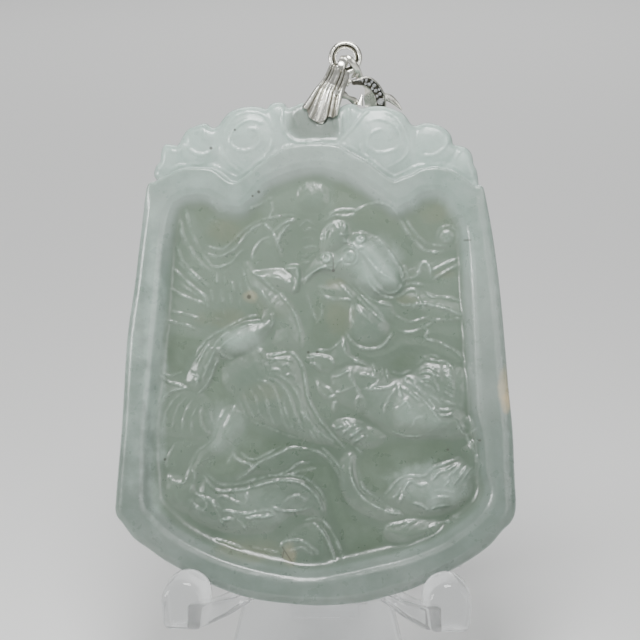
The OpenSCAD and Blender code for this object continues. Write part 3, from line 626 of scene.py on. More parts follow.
# clouds of the crown: column, row, radius in columns, height in mm
DOMES = places("""
247,140,37,1.15 383,142,37,1.15 200,143,24,1 436,144,24,1 169,158,18,0.8 464,164,18,0.8 279,118,17,0.75
350,120,17,0.75
""")
RECESS = places("""
290,114 300,108 322,113 336,112 341,118 341,134 334,141 310,142 296,140 288,130
""")
CROWN_LINES = strokes("""
left spiral and the contours round it
0.24:2.5 263,124 252,121 241,125 233,133 231,143 237,150 247,152 257,148 261,140 258,132 251,130 246,133
0.26:2.4 221,146 224,156 231,165 240,172
0.2:2 228,150 232,159 239,166 246,171
0.26:2.4 272,140 271,150 263,159 251,167
0.22:3 226,136 230,124 240,115 254,112 266,117 273,128
right spiral and the contours round it
0.24:2.5 367,124 378,121 390,124 398,132 401,142 397,150 387,154 376,154 369,148 368,140 373,134 381,132
0.26:2.4 360,146 363,155 371,162 381,170 392,178
0.2:2 409,148 405,158 396,165 386,170
0.26:2.6 382,112 394,118 402,128 407,140 409,148
0.3:2.6 374,108 363,117 353,130 341,142
small clouds at the left
0.34:3 187,139 190,149 199,155 209,154 216,147
0.2:3 205,130 205,141 / 172,146 173,154
0.18:3 180,148 180,156
small clouds at the right
0.3:2.6 447,135 446,146 439,154 430,158 420,156
0.22:2.4 429,129 439,128 448,134
0.24:2.6 454,161 459,153 465,150
0.2:2.4 466,177 472,180 477,186
edge of the recess in the middle
0.34:2.6 283,110 283,122 286,133 293,141 303,143 322,142 337,141
0.3:2.6 341,113 342,128 340,139
0.26:2.6 349,107 349,128
0.22:3 298,110 295,118 298,128
thin lines that follow the rim
0.3:1.9 168,172 177,167 190,164.5 208,165 222,169 232,175 238,177 249,171 260,163 273,155 286,148 300,144.5
318,143 / 334,143 344,146 356,152 368,159 380,168 393,177 402,174 413,169 427,166 442,166 455,170 468,178
""")
print("beads:", len(BEADS), "pockets:", len(POCKETS), "clouds:", len(DOMES), "crown lines:", len(CROWN_LINES))

# %% [markdown]
# All of it becomes one height over the face. A modifier or sculpted strokes could raise it too, but
# distances to the drawn paths give each ridge and rounded edge exactly. They are worked out with numpy
# for all points at once, and only inside each stroke's own box.

# %% Curves and distances
FAR = 1e9
TINY = 1e-9


def ease(t):
    t = np.clip(t, 0, 1)
    return t * t * (3 - 2 * t)


def in_rows(y, first, rise, last, fall):
    """1 between two rows, with a soft start and end."""
    return ease((y - first) / rise) * ease((last - y) / fall)


def smooth_path(points, steps=4, closed=False):
    """A smooth curve through the points, with steps new points for each stretch."""
    p = np.asarray(points, float)
    if len(p) < 3:
        share = np.linspace(0, 1, steps + 1)[:, None]
        return p[0] * (1 - share) + p[1] * share
    ends = (p[-1:], p[:2]) if closed else (2 * p[:1] - p[1:2], 2 * p[-1:] - p[-2:-1])
    q = np.vstack([ends[0], p, ends[1]])
    t = np.arange(steps)[:, None] / steps
    curve = []
    for a, b, c, d in zip(q[:-3], q[1:-2], q[2:-1], q[3:]):
        curve.append(0.5 * (2 * b + (c - a) * t + (2 * a - 5 * b + 4 * c - d) * t**2
            + (3 * b - a - 3 * c + d) * t**3))
    return np.vstack(curve if closed else curve + [p[-1:]])


def share_along(x, y, start, step):
    """How far along a straight stretch the point nearest to each place lies, from 0 to 1."""
    return np.clip(((x - start[0]) * step[0] + (y - start[1]) * step[1]) / max(TINY, step @ step), 0, 1)


def to_path(x, y, path, closed=False):
    """Distance from each point to the path, and how far along the path that is, from 0 to 1."""
    count = len(path) if closed else len(path) - 1
    least = np.full(x.shape, FAR)
    share = np.zeros(x.shape)
    for i in range(count):
        a, step = path[i], path[(i + 1) % len(path)] - path[i]
        t = share_along(x, y, a, step)
        gap = np.hypot(x - a[0] - t * step[0], y - a[1] - t * step[1])
        closer = gap < least
        least = np.where(closer, gap, least)
        share = np.where(closer, (i + t) / count, share)
    return least, share


def within(x, y, path):
    """True for each point inside the closed path."""
    odd = np.zeros(x.shape, bool)
    for a, b in zip(path, np.roll(path, -1, axis=0)):
        if a[1] != b[1]:
            odd ^= ((a[1] > y) != (b[1] > y)) & (x < (b[0] - a[0]) * (y - a[1]) / (b[1] - a[1]) + a[0])
    return odd


def near_box(x, y, path, margin):
    low, high = path.min(0) - margin, path.max(0) + margin
    return (x > low[0]) & (x < high[0]) & (y > low[1]) & (y < high[1])


def inset_of(x, y, path, reach=FAR):
    """Distance from each point to the closed path, positive inside it; far points get plus or minus reach."""
    close = near_box(x, y, path, reach)
    gap = np.full(x.shape, float(reach))
    gap[close] = to_path(x[close], y[close], path, True)[0]
    return np.where(within(x, y, path), gap, -gap)


outline = smooth_path(RIM_SIDES + CROWN, 3, True)
rim_line = smooth_path(RIM_SIDES[1:] + RIM_TOP[-2:0:-1], 3, True)
field_line = smooth_path(FIELD, 3, True)
print("points along the smooth outline:", len(outline))

# %% [markdown]
# Each kind of cut has its own profile. A pad swells quickly from its edge and then stays nearly level. A
# ridge is sharp on top, and uneven along its length, because it was cut by hand. Two heights that meet get
# a small fillet, and shallow facets are left between the lines by the carver's wheel.

# %% Profiles of the cuts
PAD_SHARE, PAD_SPREAD, PAD_POWER = 0.56, 1.6, 2.4
LINE_SHARE, LINE_WIDTH, LINE_POWER = 0.6, 0.74, 1.1
FILLET = 0.12


def pad(x, y, height, edge, points):
    path = smooth_path(points, 4, True)
    out = np.zeros(x.shape)
    k = near_box(x, y, path, 2)
    t = np.clip((inset_of(x[k], y[k], path) + 1) / (edge * PAD_SPREAD), 0, 1)
    out[k] = height * PAD_SHARE * (1 - (1 - t) ** PAD_POWER)
    return out


def wobble(x, y):
    """An uneven hand: how high a line is cut, from 0.24 to 1.32 of its full height."""
    slow = 0.22 * np.sin(0.31 * x + 0.17 * y) + 0.16 * np.sin(0.13 * x - 0.37 * y + 2)
    return 0.78 + slow + 0.16 * np.sin(1.1 * x + 1.9 * np.sin(0.5 * y) + 0.4 * y)


def ridge(x, y, height, half, points):
    path = smooth_path(points, 4)
    out = np.zeros(x.shape)
    k = near_box(x, y, path, half * 1.6)
    gap, share = to_path(x[k], y[k], path)
    taper = np.clip(np.minimum(share, 1 - share) * 5 + 0.35, 0, 1)
    u = np.clip(gap / (half * LINE_WIDTH * (0.6 + 0.4 * taper)), 0, 1)
    out[k] = height * LINE_SHARE * taper * (1 - u) ** LINE_POWER * wobble(x[k], y[k])
    return out


def highest_ridge(x, y, lines):
    highest = np.zeros(x.shape)
    for line in lines:
        highest = np.maximum(highest, ridge(x, y, *line))
    return highest


def bead(x, y, col, row, half_w, half_h, height, curve=0.5):
    return height * np.clip(1 - ((x - col) / half_w) ** 2 - ((y - row) / half_h) ** 2, 0, 1) ** curve


def tool_marks(x, y):
    first = np.sin(0.52 * x + 1.4 * np.sin(0.19 * y)) * np.sin(0.47 * y + 1.2 * np.sin(0.23 * x))
    second = np.sin(0.9 * x - 0.5 * y + 1.7 * np.sin(0.31 * y)) * np.sin(0.4 * x + 0.95 * y)
    return first + 0.5 * second


def soft_max(a, b, k=FILLET):
    """The greater of two heights, with a small fillet where they meet."""
    h = np.clip(0.5 + 0.5 * (a - b) / k, 0, 1)
    return b * (1 - h) + a * h + k * h * (1 - h)


def rounding(gap, radius):
    """How far a rounded edge of that radius drops at a distance from it, both in mm."""
    t = np.clip(gap / radius, 0, 1)
    return radius * (1 - np.sqrt(1 - (1 - t) ** 2))


print("a line is cut from", LINE_SHARE * 0.24, "to", round(LINE_SHARE * 1.32, 2), "of its drawn height")

# %% [markdown]
# The figures stand in a sunk field whose ground is dished: less deep near the crown. A sloping wall leads
# up to the frame, and the bodies fade into it. The frame has a bevel along its sides, which is narrow on
# the left and wide on the right, and above it stands the thinner crown with its clouds.

# %% Height of the face in mm above the flat back
FIELD_D, FIELD_TOP, FIELD_KNEE = 2.2, 2.3, 1.8
DISH, DISH_ROW, DISH_SPAN = 0.4, 270, 60
WALL_TOP, WALL_FOOT = 9, 5
WALL_WIDE, WALL_SIDE, WALL_ROWS = 15, 10, (225, 30, 490, 40)
WALL_SLOPE, WALL_FILLET = 0.8, 0.6
CREASE_AT, CREASE_H, CREASE_W = 3, 0.022, 2
CREASE_MOVED, CREASE_COL, CREASE_ROWS = 6, 430, (205, 15, 330, 20)
LINES_ON_GROUND = 0.7
SIDE_COLS, SIDE_ROWS, RUN_LEFT, RUN_RIGHT = (172, 451), (235, 440), 14, 16
BEVEL_LEFT, BEVEL_RIGHT, BEVEL_DROP = 6.5, 10.0, 0.42
BEVEL_ROW, BEVEL_COL, BEVEL_COLS = 185, 130, 370
RIM_ROUND, ALL_RIM_ROW, NO_CROWN_ROW = 0.32, 195, 205
CROWN_T, CROWN_ROUND, DOME_SHARE = 4.45, 0.75, 0.6
TOOL_MARKS = 0.016


def under_wall(points):
    """A body that ends at the frame's side wall runs on under it."""
    x, y = np.array(points, float).T
    middle = (y > SIDE_ROWS[0]) & (y < SIDE_ROWS[1])
    x = x + np.where(middle & (x > SIDE_COLS[1]), RUN_RIGHT, 0)
    x = x - np.where(middle & (x < SIDE_COLS[0]), RUN_LEFT, 0)
    return np.column_stack([x, y])


def figures(x, y):
    body = np.zeros(x.shape)
    for height, edge, points in BODIES:
        body = soft_max(body, pad(x, y, height, edge, under_wall(points)))
    body = np.maximum(body, bead(x, y, *PEARL, 0.8))
    lines = highest_ridge(x, y, LINES)
    for spot in BEADS:
        lines = np.maximum(lines, bead(x, y, *spot))
    for spot in HOLLOWS:
        lines = lines - bead(x, y, *spot)
    both = body + lines + TOOL_MARKS * tool_marks(x, y) * np.clip(body / 0.3, 0.3, 1)
    room = FIELD_TOP - FIELD_KNEE
    return np.where(both > FIELD_KNEE, FIELD_KNEE + room * np.tanh((both - FIELD_KNEE) / room), both), lines


def depth_at(y):
    """The ground lies less deep near the crown."""
    return FIELD_D * (1 - DISH * ease((DISH_ROW - y) / DISH_SPAN))


def field_height(x, y, to_field):
    """The ground with its figures and wall, and how much of it is a cut line."""
    raised, lines = figures(x, y)
    reach = WALL_WIDE - (WALL_WIDE - WALL_SIDE) * in_rows(y, *WALL_ROWS)
    wall = WALL_SLOPE * ease((to_field + reach) / (reach + WALL_FOOT))
    wall = wall + (1 - WALL_SLOPE) * np.clip(to_field / WALL_TOP, 0, 1)
    crease = CREASE_AT - CREASE_MOVED * (x > CREASE_COL) * in_rows(y, *CREASE_ROWS)
    wall = wall + CREASE_H * np.clip(1 - abs(to_field - crease) / CREASE_W, 0, 1)
    fade = np.clip(1 - (to_field - 1) / 7, 0, 1)
    depth = depth_at(y)
    sunk = PLAQUE_T - depth + soft_max(raised * fade, depth * wall, WALL_FILLET)
    sunk = sunk + LINES_ON_GROUND * lines * fade * ease((wall - 0.15) / 0.5)
    return sunk, lines * fade * (1 - wall)


def frame_height(x, y, to_rim):
    """The rim and the crown, and how much of them is a cut line."""
    bevel = BEVEL_LEFT + (BEVEL_RIGHT - BEVEL_LEFT) * ease((x - BEVEL_COL) / BEVEL_COLS)
    facet = BEVEL_DROP * np.clip(1 - to_rim / PX / bevel, 0, 1) * ease((y - BEVEL_ROW) / 30)
    rim = PLAQUE_T - facet - rounding(to_rim, RIM_ROUND)
    rim = np.where((to_rim > 0) | (y > ALL_RIM_ROW), rim, 0)
    clouds = np.zeros(x.shape)
    for col, row, radius, height in DOMES:
        clouds = soft_max(clouds, bead(x, y, col, row, radius, radius, height * DOME_SHARE), 0.2)
    lines = highest_ridge(x, y, CROWN_LINES)
    crown = CROWN_T + clouds + lines - rounding(inset_of(x, y, outline) * PX, CROWN_ROUND)
    return np.where(y > NO_CROWN_ROW, rim, soft_max(rim, crown, 0.1)), lines * (to_rim < 0)


def face_height(x, y):
    """The height of the face, and how much of it is a cut line."""
    to_field = -inset_of(x, y, field_line)
    frame_h, frame_lines = frame_height(x, y, inset_of(x, y, rim_line) * PX)
    field_h, field_lines = field_height(x, y, to_field)
    on_frame = to_field > WALL_TOP
    height = np.where(on_frame, frame_h, np.minimum(field_h, frame_h + 0.3))
    return height, np.where(on_frame, frame_lines, field_lines)


print("the ground is", FIELD_D, "mm deep, and", round(FIELD_D * (1 - DISH), 2), "mm near the crown")

# %% [markdown]
# The stone's skin is a fine grid of points over the face. Near the outline and round the drilled hole the
# squares can't follow the edge, so a Delaunay triangulation fills the strip between them. The outline is
# first given even points, and the small kinks that it was read with are smoothed away.

# %% Edge and hole
HOLE_AT = (320.6, 119.2)
HOLE_R = 0.7 / PX
HOLE_STEP = 12
EDGE_STEP = 1.7
EDGE_ENDS = 16
EDGE_SMOOTHING = {(192, 640): 14, (198, 500): 60}


def even(path, spacing):
    """The closed path with points at an even spacing."""
    loop = np.vstack([path, path[:1]])
    along = np.concatenate([[0], np.cumsum(np.hypot(*np.diff(loop, axis=0).T))])
    at = np.linspace(0, along[-1], int(along[-1] / spacing) + 1)[:-1]
    return np.column_stack([np.interp(at, along, loop[:, 0]), np.interp(at, along, loop[:, 1])])


def clockwise(path):
    area = np.sum(path[:, 0] * np.roll(path[:, 1], -1) - np.roll(path[:, 0], -1) * path[:, 1])
    return path if area > 0 else path[::-1]


def relaxed(path, first, last, passes):
    """The closed path, with each point between two rows drawn towards the middle of its neighbours."""
    free = in_rows(path[:, 1], first, EDGE_ENDS, last, EDGE_ENDS)[:, None]
    for _ in range(passes):
        path = path + 0.25 * free * (np.roll(path, 1, axis=0) + np.roll(path, -1, axis=0) - 2 * path)
    return path


edge = even(outline, EDGE_STEP)
for (first, last), passes in EDGE_SMOOTHING.items():
    edge = relaxed(edge, first, last, passes)
edge = clockwise(edge)
turns = np.radians(np.arange(0, 360, HOLE_STEP))
hole = clockwise(np.column_stack([HOLE_AT[0] + HOLE_R * np.cos(turns), HOLE_AT[1] + HOLE_R * np.sin(turns)]))
print("points along the edge:", len(edge), "and round the hole:", len(hole))

# %% [markdown]
# A sheet is made in steps: whole squares well inside the stone, a few rows of points that follow the
# outline, and triangles between them. Grid points near the crest of a line are moved onto it, so that it
# stays sharp.

# %% Sheets that fill the outline
HOLE_GAP, EDGE_GAP = 1.6, 2.3
ROW_SHARE = 0.93
THIN = 1e-4
NEAR = 40


def whole_squares(cols, rows, margin):
    """The grid's free points, the squares between them, where those are, and which points they surround."""
    x, y = np.meshgrid(cols, rows)
    from_hole = np.hypot(x - HOLE_AT[0], y - HOLE_AT[1]) - HOLE_R
    free = (inset_of(x, y, edge, NEAR) > margin) & (from_hole > HOLE_GAP)
    number = np.full(x.shape, -1)
    number[free] = len(edge) + len(hole) + np.arange(free.sum())
    square = free[:-1, :-1] & free[1:, :-1] & free[:-1, 1:] & free[1:, 1:]
    corners = (number[:-1, :-1], number[:-1, 1:], number[1:, 1:], number[1:, :-1])
    faces = np.column_stack([corner[square] for corner in corners]).tolist()
    around = square[:-1, :-1] & square[1:, :-1] & square[:-1, 1:] & square[1:, 1:]
    return np.column_stack([x[free], y[free]]), faces, square, number[1:-1, 1:-1][around]


def inset_row(inset):
    """Points that follow the outline inside it, without those that bunch up where it bends in."""
    side = np.roll(edge, -1, axis=0) - np.roll(edge, 1, axis=0)
    row = edge + np.column_stack([-side[:, 1], side[:, 0]]) / np.hypot(*side.T)[:, None] * inset
    return row[inset_of(*row.T, edge, NEAR) > inset * ROW_SHARE]


def loop_sides(start, count):
    return [(start + i, start + (i + 1) % count) for i in range(count)]


def border_of(faces):
    """The sides of the squares that have no square beyond them."""
    sides = dict.fromkeys((face[i], face[(i + 1) % 4]) for face in faces for i in range(4))
    return [pair for pair in sides if (pair[1], pair[0]) not in sides]


def without_slivers(strips, corners, keep, area):
    """A triangle with hardly any area stays only where its long side is shared with one that stays."""
    thin = abs(area) < THIN
    whole = [f for f, stays in zip(strips, keep & ~thin) if stays]
    shared = {frozenset(pair) for f in whole for pair in zip(f, f[1:] + f[:1])}
    for i in np.flatnonzero(thin):
        length = np.hypot(*(corners[i] - np.roll(corners[i], -1, axis=0)).T)
        k = int(length.argmax())
        keep[i] = frozenset((strips[i][k], strips[i][(k + 1) % 3])) in shared
    return keep


def strip_faces(points, used, fixed, cols, rows, square):
    """Triangles between the squares, the outline and the hole, which hold the fixed sides."""
    to_used = np.full(len(points), -1)
    to_used[used] = np.arange(len(used))
    sides = [(int(to_used[p]), int(to_used[q])) for p, q in fixed]
    found = delaunay_2d_cdt([Vector(p) for p in points[used]], sides, [], 0, 1e-5)
    strips, source = found[2], found[3]
    back = np.array([used[s[0]] for s in source])
    corners = points[back[np.array(strips)]]
    x, y = corners.mean(1).T
    col = np.clip(np.searchsorted(cols, x) - 1, 0, len(cols) - 2)
    row = np.clip(np.searchsorted(rows, y) - 1, 0, len(rows) - 2)
    keep = within(x, y, edge) & ~within(x, y, hole) & ~square[row, col]
    first, second = corners[:, 1] - corners[:, 0], corners[:, 2] - corners[:, 0]
    area = first[:, 0] * second[:, 1] - first[:, 1] * second[:, 0]
    keep = without_slivers(strips, corners, keep, area)
    turned = np.where(area[:, None] < 0, back[np.array(strips)][:, ::-1], back[np.array(strips)])
    return turned[keep].tolist()


def drawn_to_crests(x, y, reach):
    """The points, with each one that is near the crest of a line moved onto it."""
    nearest = np.full(x.shape, float(reach))
    moved_x, moved_y = x.copy(), y.copy()
    for _, _, points in LINES + CROWN_LINES:
        path = smooth_path(points, 4)
        k = np.flatnonzero(near_box(x, y, path, reach))
        for a, b in zip(path, path[1:]):
            t = share_along(x[k], y[k], a, b - a)
            spot_x, spot_y = a[0] + t * (b - a)[0], a[1] + t * (b - a)[1]
            gap = np.hypot(x[k] - spot_x, y[k] - spot_y)
            closer = gap < nearest[k]
            chosen = k[closer]
            nearest[chosen] = gap[closer]
            moved_x[chosen], moved_y[chosen] = spot_x[closer], spot_y[closer]
    return np.column_stack([moved_x, moved_y])


def sheet(cols, rows, insets, snap=0):
    """Points and faces that fill the outline but not the hole: the edge's points, the hole's, the rest."""
    free, faces, square, surrounded = whole_squares(cols, rows, EDGE_GAP + max(insets))
    points = np.vstack([edge, hole, free] + [inset_row(inset) for inset in insets])
    inner = np.zeros(len(points), bool)
    inner[surrounded] = True
    fixed = loop_sides(0, len(edge)) + loop_sides(len(edge), len(hole)) + border_of(faces)
    faces += strip_faces(points, np.flatnonzero(~inner), fixed, cols, rows, square)
    points[inner] = drawn_to_crests(*points[inner].T, snap)
    return points, faces


print("squares stay", EDGE_GAP, "columns off the last row of points that follows the outline")

# %% [markdown]
# The grid is finest where the figures are. The flat back needs only wide squares, with a rounded edge, and
# a wall of bands joins the two sheets all round and through the hole.

# %% Carved stone
BACK_ROUND = 0.8
STEP, EDGE_COLS_STEP, CROWN_STEP, FOOT_STEP, BACK_STEP = 1.36, 2.1, 1.6, 2.2, 7
SNAP = 0.42
FIRST_COL, LAST_COL, FIRST_ROW, LAST_ROW = 112, 520, 98, 606
FRONT_INSETS, BACK_INSETS = [0.9, 2.2], [1.2, 2.6, 4.4, 7]
WALL_LEVELS = (0.8, 0.55, 0.3)


def spaced(start, *stretches):
    """Grid lines from the start, with a stretch for each end and spacing."""
    lines = [np.array([start])]
    at = start
    for end, spacing in stretches:
        count = max(1, round((end - at) / spacing))
        lines.append(at + (end - at) * np.arange(1, count + 1) / count)
        at = end
    return np.concatenate(lines)


def wall_faces(loops):
    """Bands between each loop of edge and hole points and the next one down."""
    faces = []
    for upper, lower in zip(loops, loops[1:]):
        faces += [[upper[i], upper[j], lower[j], lower[i]] for i, j in loop_sides(0, len(edge))]
        faces += [[upper[j], upper[i], lower[i], lower[j]] for i, j in loop_sides(len(edge), len(hole))]
    return faces


def local(xy, height):
    return np.column_stack([across(xy[:, 0]), -height, up_face(xy[:, 1])])


cols = spaced(FIRST_COL, (150, EDGE_COLS_STEP), (484, STEP), (LAST_COL, EDGE_COLS_STEP))
rows = spaced(FIRST_ROW, (172, CROWN_STEP), (572, STEP), (LAST_ROW, FOOT_STEP))
front_xy, front_faces = sheet(cols, rows, FRONT_INSETS, STEP * SNAP)
front_h, front_lines = face_height(*front_xy.T)
back_grid = spaced(FIRST_COL, (LAST_COL, BACK_STEP)), spaced(FIRST_ROW, (LAST_ROW, BACK_STEP))
back_xy, back_faces = sheet(*back_grid, BACK_INSETS)
back_h = rounding(inset_of(*back_xy.T, edge) * PX, BACK_ROUND)
rims = len(edge) + len(hole)
stone = [local(front_xy, front_h)]
for share in WALL_LEVELS:
    stone.append(local(front_xy[:rims], back_h[:rims] + (front_h[:rims] - back_h[:rims]) * share))
first_back = sum(map(len, stone))
stone = np.vstack(stone + [local(back_xy, back_h)])
starts = [0] + [len(front_xy) + rims * i for i in range(len(WALL_LEVELS) + 1)]
faces = [f[::-1] for f in front_faces] + [[i + first_back for i in f] for f in back_faces]
faces += wall_faces([start + np.arange(rims) for start in starts])
jade = piece("carved_jade", plain_mesh("carved_jade", on_plaque(stone), faces), "base")
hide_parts("jade_plaque")
check_skin(jade.data, turn=False)

# %% [markdown]
# The colour of jade depends on how thick it is and on how it catches light, and here the light's part is
# painted: open ground is painted dark and green as shade, crevices a little darker and raised parts milky. A
# shader can't measure that by itself, so each point of the stone carries seven numbers for it, such as how
# high it stands over the ground and how much it stands out from what is round it.

# %% What the stone's points carry
RISE_FULL, LINE_FULL = 2.3, 0.35
EVEN_STEP, WIDE, NARROW = 1.5, 9, 2


def spread(values, count):
    """The mean of each value and its neighbours, count steps out, along both grid directions."""
    for axis in (0, 1):
        ends = [np.repeat(values.take([end], axis), count, axis) for end in (0, -1)]
        total = np.cumsum(np.concatenate([ends[0], values, ends[1]], axis), axis)
        total = np.concatenate([np.zeros_like(total.take([0], axis)), total], axis)
        size, width = values.shape[axis], 2 * count + 1
        values = (total.take(range(width, width + size), axis) - total.take(range(size), axis)) / width
    return values


def sample(grid, x, y):
    i = np.clip(np.interp(x, even_cols, np.arange(len(even_cols))), 0, len(even_cols) - 1.001)
    j = np.clip(np.interp(y, even_rows, np.arange(len(even_rows))), 0, len(even_rows) - 1.001)
    a, b = i.astype(int), j.astype(int)
    s, t = i - a, j - b
    return (grid[b, a] * (1 - s) * (1 - t) + grid[b, a + 1] * s * (1 - t)
        + grid[b + 1, a] * (1 - s) * t + grid[b + 1, a + 1] * s * t)


def inside(points, start, width):
    """1 inside a smooth outline, from start columns outside it, rising over width columns."""
    return ease((inset_of(x, y, smooth_path(points, 4, True), 30) + start) / width)


even_cols = np.arange(FIRST_COL, LAST_COL, EVEN_STEP)
even_rows = np.arange(FIRST_ROW, LAST_ROW, EVEN_STEP)
height_map = face_height(*np.meshgrid(even_cols, even_rows))[0]
narrow, wide = spread(height_map, NARROW), spread(spread(height_map, WIDE), WIDE)
x, y = front_xy.T
carried = {
    "rise": np.clip((front_h - (PLAQUE_T - depth_at(y))) / RISE_FULL, 0, 1),
    "crest": np.clip(sample(narrow, x, y) - sample(wide, x, y), -1.5, 1.5),
    "field": ease((inset_of(x, y, field_line) + 1) / 9),
    "pocket": np.max([inside(points, 4, 10) for points in POCKETS], axis=0),
    "line": np.clip(front_lines / LINE_FULL, 0, 1),
    "crown": ease((2 - inset_of(x, y, rim_line, 30)) / 3),
    "hollow": inside(RECESS, 5, 12)}
elsewhere = len(stone) - len(x)
for name, values in carried.items():
    carry(jade.data, name, np.concatenate([values, np.full(elsewhere, float(name == "rise"))]))
    print(name, "is", round(float(values.mean()), 2), "on average")

# the photo's grid as a UV map, so that a mark can be painted at its column and row
grid_xy = np.column_stack([stone[:, 0] / PX + MID_COL, FOOT_ROW - stone[:, 2] / PX])
corner = np.zeros(len(jade.data.loops), np.int32)
jade.data.loops.foreach_get("vertex_index", corner)
uv = jade.data.uv_layers.new(name="face")
uv.data.foreach_set("uv", (grid_xy[corner] / IMAGE).astype(np.float32).ravel())

# %% [markdown]
# The stone is pale grey-green jade, polished and slightly see-through. Its colour runs from thin and dark
# to raised and milky, with cloudy and veined noise at several sizes. The dark of the low ground, its pockets,
# its crevices, the foot and the hollow behind the bail is painted shade, and the paler colour towards the
# top,
# on the crests of the lines and on the left side is painted light. It also has what makes this piece itself:
# a few black specks, a warm stain on the right of the rim and short cracks, painted by their place on the
# face.

# %% Colours of the jade, as a darker and a lighter shade or as one
# DEEP is the painted shade of the low, open ground and its pockets
DEEP = (0.085, 0.12, 0.083), (0.11, 0.15, 0.108)
MIDDLE = (0.131, 0.178, 0.14), (0.174, 0.227, 0.179)
PALE = (0.26, 0.345, 0.298), (0.318, 0.404, 0.356)
LOW_RIM = (0.15, 0.193, 0.166), (0.189, 0.24, 0.212)
HIGH_RIM = (0.21, 0.28, 0.243), (0.28, 0.357, 0.322)
CLOUDS = (0.335, 0.43, 0.39), (0.42, 0.52, 0.475)
DEEP_LIT_AT_TOP = (0.14, 0.184, 0.136)
SHADE_BEHIND_BAIL = (0.11, 0.143, 0.115)
HAZY = (0.36, 0.39, 0.37)
SHADED = (0.03, 0.045, 0.03)
MOTTLED = (0.07, 0.1, 0.07)
PAINTED_CREST_HIGHLIGHT = (0.46, 0.57, 0.51)
BLACK = (0.05, 0.05, 0.04)
WARM = (0.5, 0.4, 0.24)
OLIVE = (0.165, 0.17, 0.1)
MILKY_AND_PAINTED_LIGHT = (0.42, 0.52, 0.47)

# stains, milky patches and two patches of painted light, in the order of painting: column, row, half width,
# half height, strength
STAINS_AND_PAINTED_LIGHT = [
    (WARM, places("503,385,9,24,0.5 503,402,6,12,0.5 290,552,9,14,0.22 251,297,9,8,0.3")),
    (OLIVE, places("336,284,13,7,0.4 340,318,18,22,0.3 408,300,16,5,0.3 446,275,14,6,0.3 225,318,30,12,0.3 "
        "262,392,26,12,0.2 228,232,22,14,0.3 432,216,18,12,0.25")),
    # painted light: the patch at 138,400 lightens the left side of the rim
    (MILKY_AND_PAINTED_LIGHT, places("247,340,30,17,0.35 376,260,34,30,0.3 432,482,50,26,0.35 228,428,24,34,0.2 "
        "408,400,50,28,0.12 268,505,50,20,0.12 138,400,16,120,0.3")),
    (OLIVE, places("252,548,44,14,0.35")),
    # painted light: lightens the left wall of the field, which lies in shade
    (MILKY_AND_PAINTED_LIGHT, places("158,370,12,170,0.4")),
    (OLIVE, places("272,308,24,14,0.15"))
]
# specks: column, row, size; cracks: column and row of both ends, half width
SPECKS = places("""
261,194,1.6 255,198,1.2 250,297,2.4 334,271,1.8 318,352,1.6 309,352,1.4 282,217,1.2 166,459,1.5 478,438,1.3
447,448,1.3 236,131,1.3 212,149,1.8
""")
CRACKS = places("462,242,469,242,1.1 283,545,295,563,0.8 285,548,282,562,0.7 334,258,334,271,0.6")
print("stains:", sum(len(spots) for _, spots in STAINS_AND_PAINTED_LIGHT), "specks:", len(SPECKS), "cracks:", len(CRACKS))

# %% Jade


def field_colour(paint, row, cloudy, raised, pocket):
    """From the deep ground, painted dark as shade, to the raised figures."""
    # painted light: the deep ground is paler towards the top, as if lit more from above
    deep = paint.mix(1 - row.between(180, 400), paint.mix(cloudy, *DEEP), DEEP_LIT_AT_TOP)
    ground = (1 - pocket) * (0.45 + cloudy * 0.5)
    colour = paint.mix(raised.between(0.02, 0.22).most(ground), deep, paint.mix(cloudy, *MIDDLE))
    return paint.mix(raised.between(0.3, 0.8), colour, paint.mix(cloudy, *PALE))


def frame_colour(paint, place, row, cloudy, veins):
    """The rim, painted paler towards its top as light from above, and the pale crown with the hollow behind
    the bail painted dark as shade.
    """
    rim = paint.mix(1 - (row + cloudy * 60).between(150, 480), paint.mix(veins, *LOW_RIM),
        paint.mix(veins, *HIGH_RIM))
    # painted shade: the hollow behind the bail is painted dark
    clouds = paint.mix(paint.carried("hollow") * 0.92, paint.mix(veins, *CLOUDS), SHADE_BEHIND_BAIL)
    haze = paint.noise(place, 55, 3, 0.5).between(0.4, 0.65)
    return paint.mix(haze * 0.35, paint.mix(paint.carried("crown"), rim, clouds), HAZY)


def stained_and_lit(paint, colour, col, row, veins):
    for tint, spots in STAINS_AND_PAINTED_LIGHT:
        for c, r, half_w, half_h, strength in spots:
            spot = 0.8 + veins * 0.5 - (((col - c) / half_w) ** 2 + ((row - r) / half_h) ** 2)
            colour = paint.mix(spot.between(0, 1) * (veins * 0.5 + 0.6) * strength, colour, tint)
    return colour


def dot(col, row, c, r, size):
    gap = ((col - c) ** 2 + (row - r) ** 2) ** 0.5
    return 1 - gap.between(size * 0.5, size * 1.3)


def crack(col, row, c0, r0, c1, r1, half):
    length = math.hypot(c1 - c0, r1 - r0)
    step_c, step_r = (c1 - c0) / length, (r1 - r0) / length
    along = (col - c0) * step_c + (row - r0) * step_r
    off = col.graph.math("ABSOLUTE", (col - c0) * step_r - (row - r0) * step_c)
    within_ends = along.between(-1, 1) * (1 - along.between(length - 1, length + 1))
    return (1 - off.between(half * 0.4, half * 1.4)) * within_ends * 0.7


def marked(paint, colour, col, row):
    """Black specks and thin cracks."""
    marks = [dot(col, row, *speck) for speck in SPECKS] + [crack(col, row, *ends) for ends in CRACKS]
    darkest = marks[0]
    for mark in marks[1:]:
        darkest = darkest.most(mark)
    return paint.mix(darkest * 0.85, colour, BLACK)


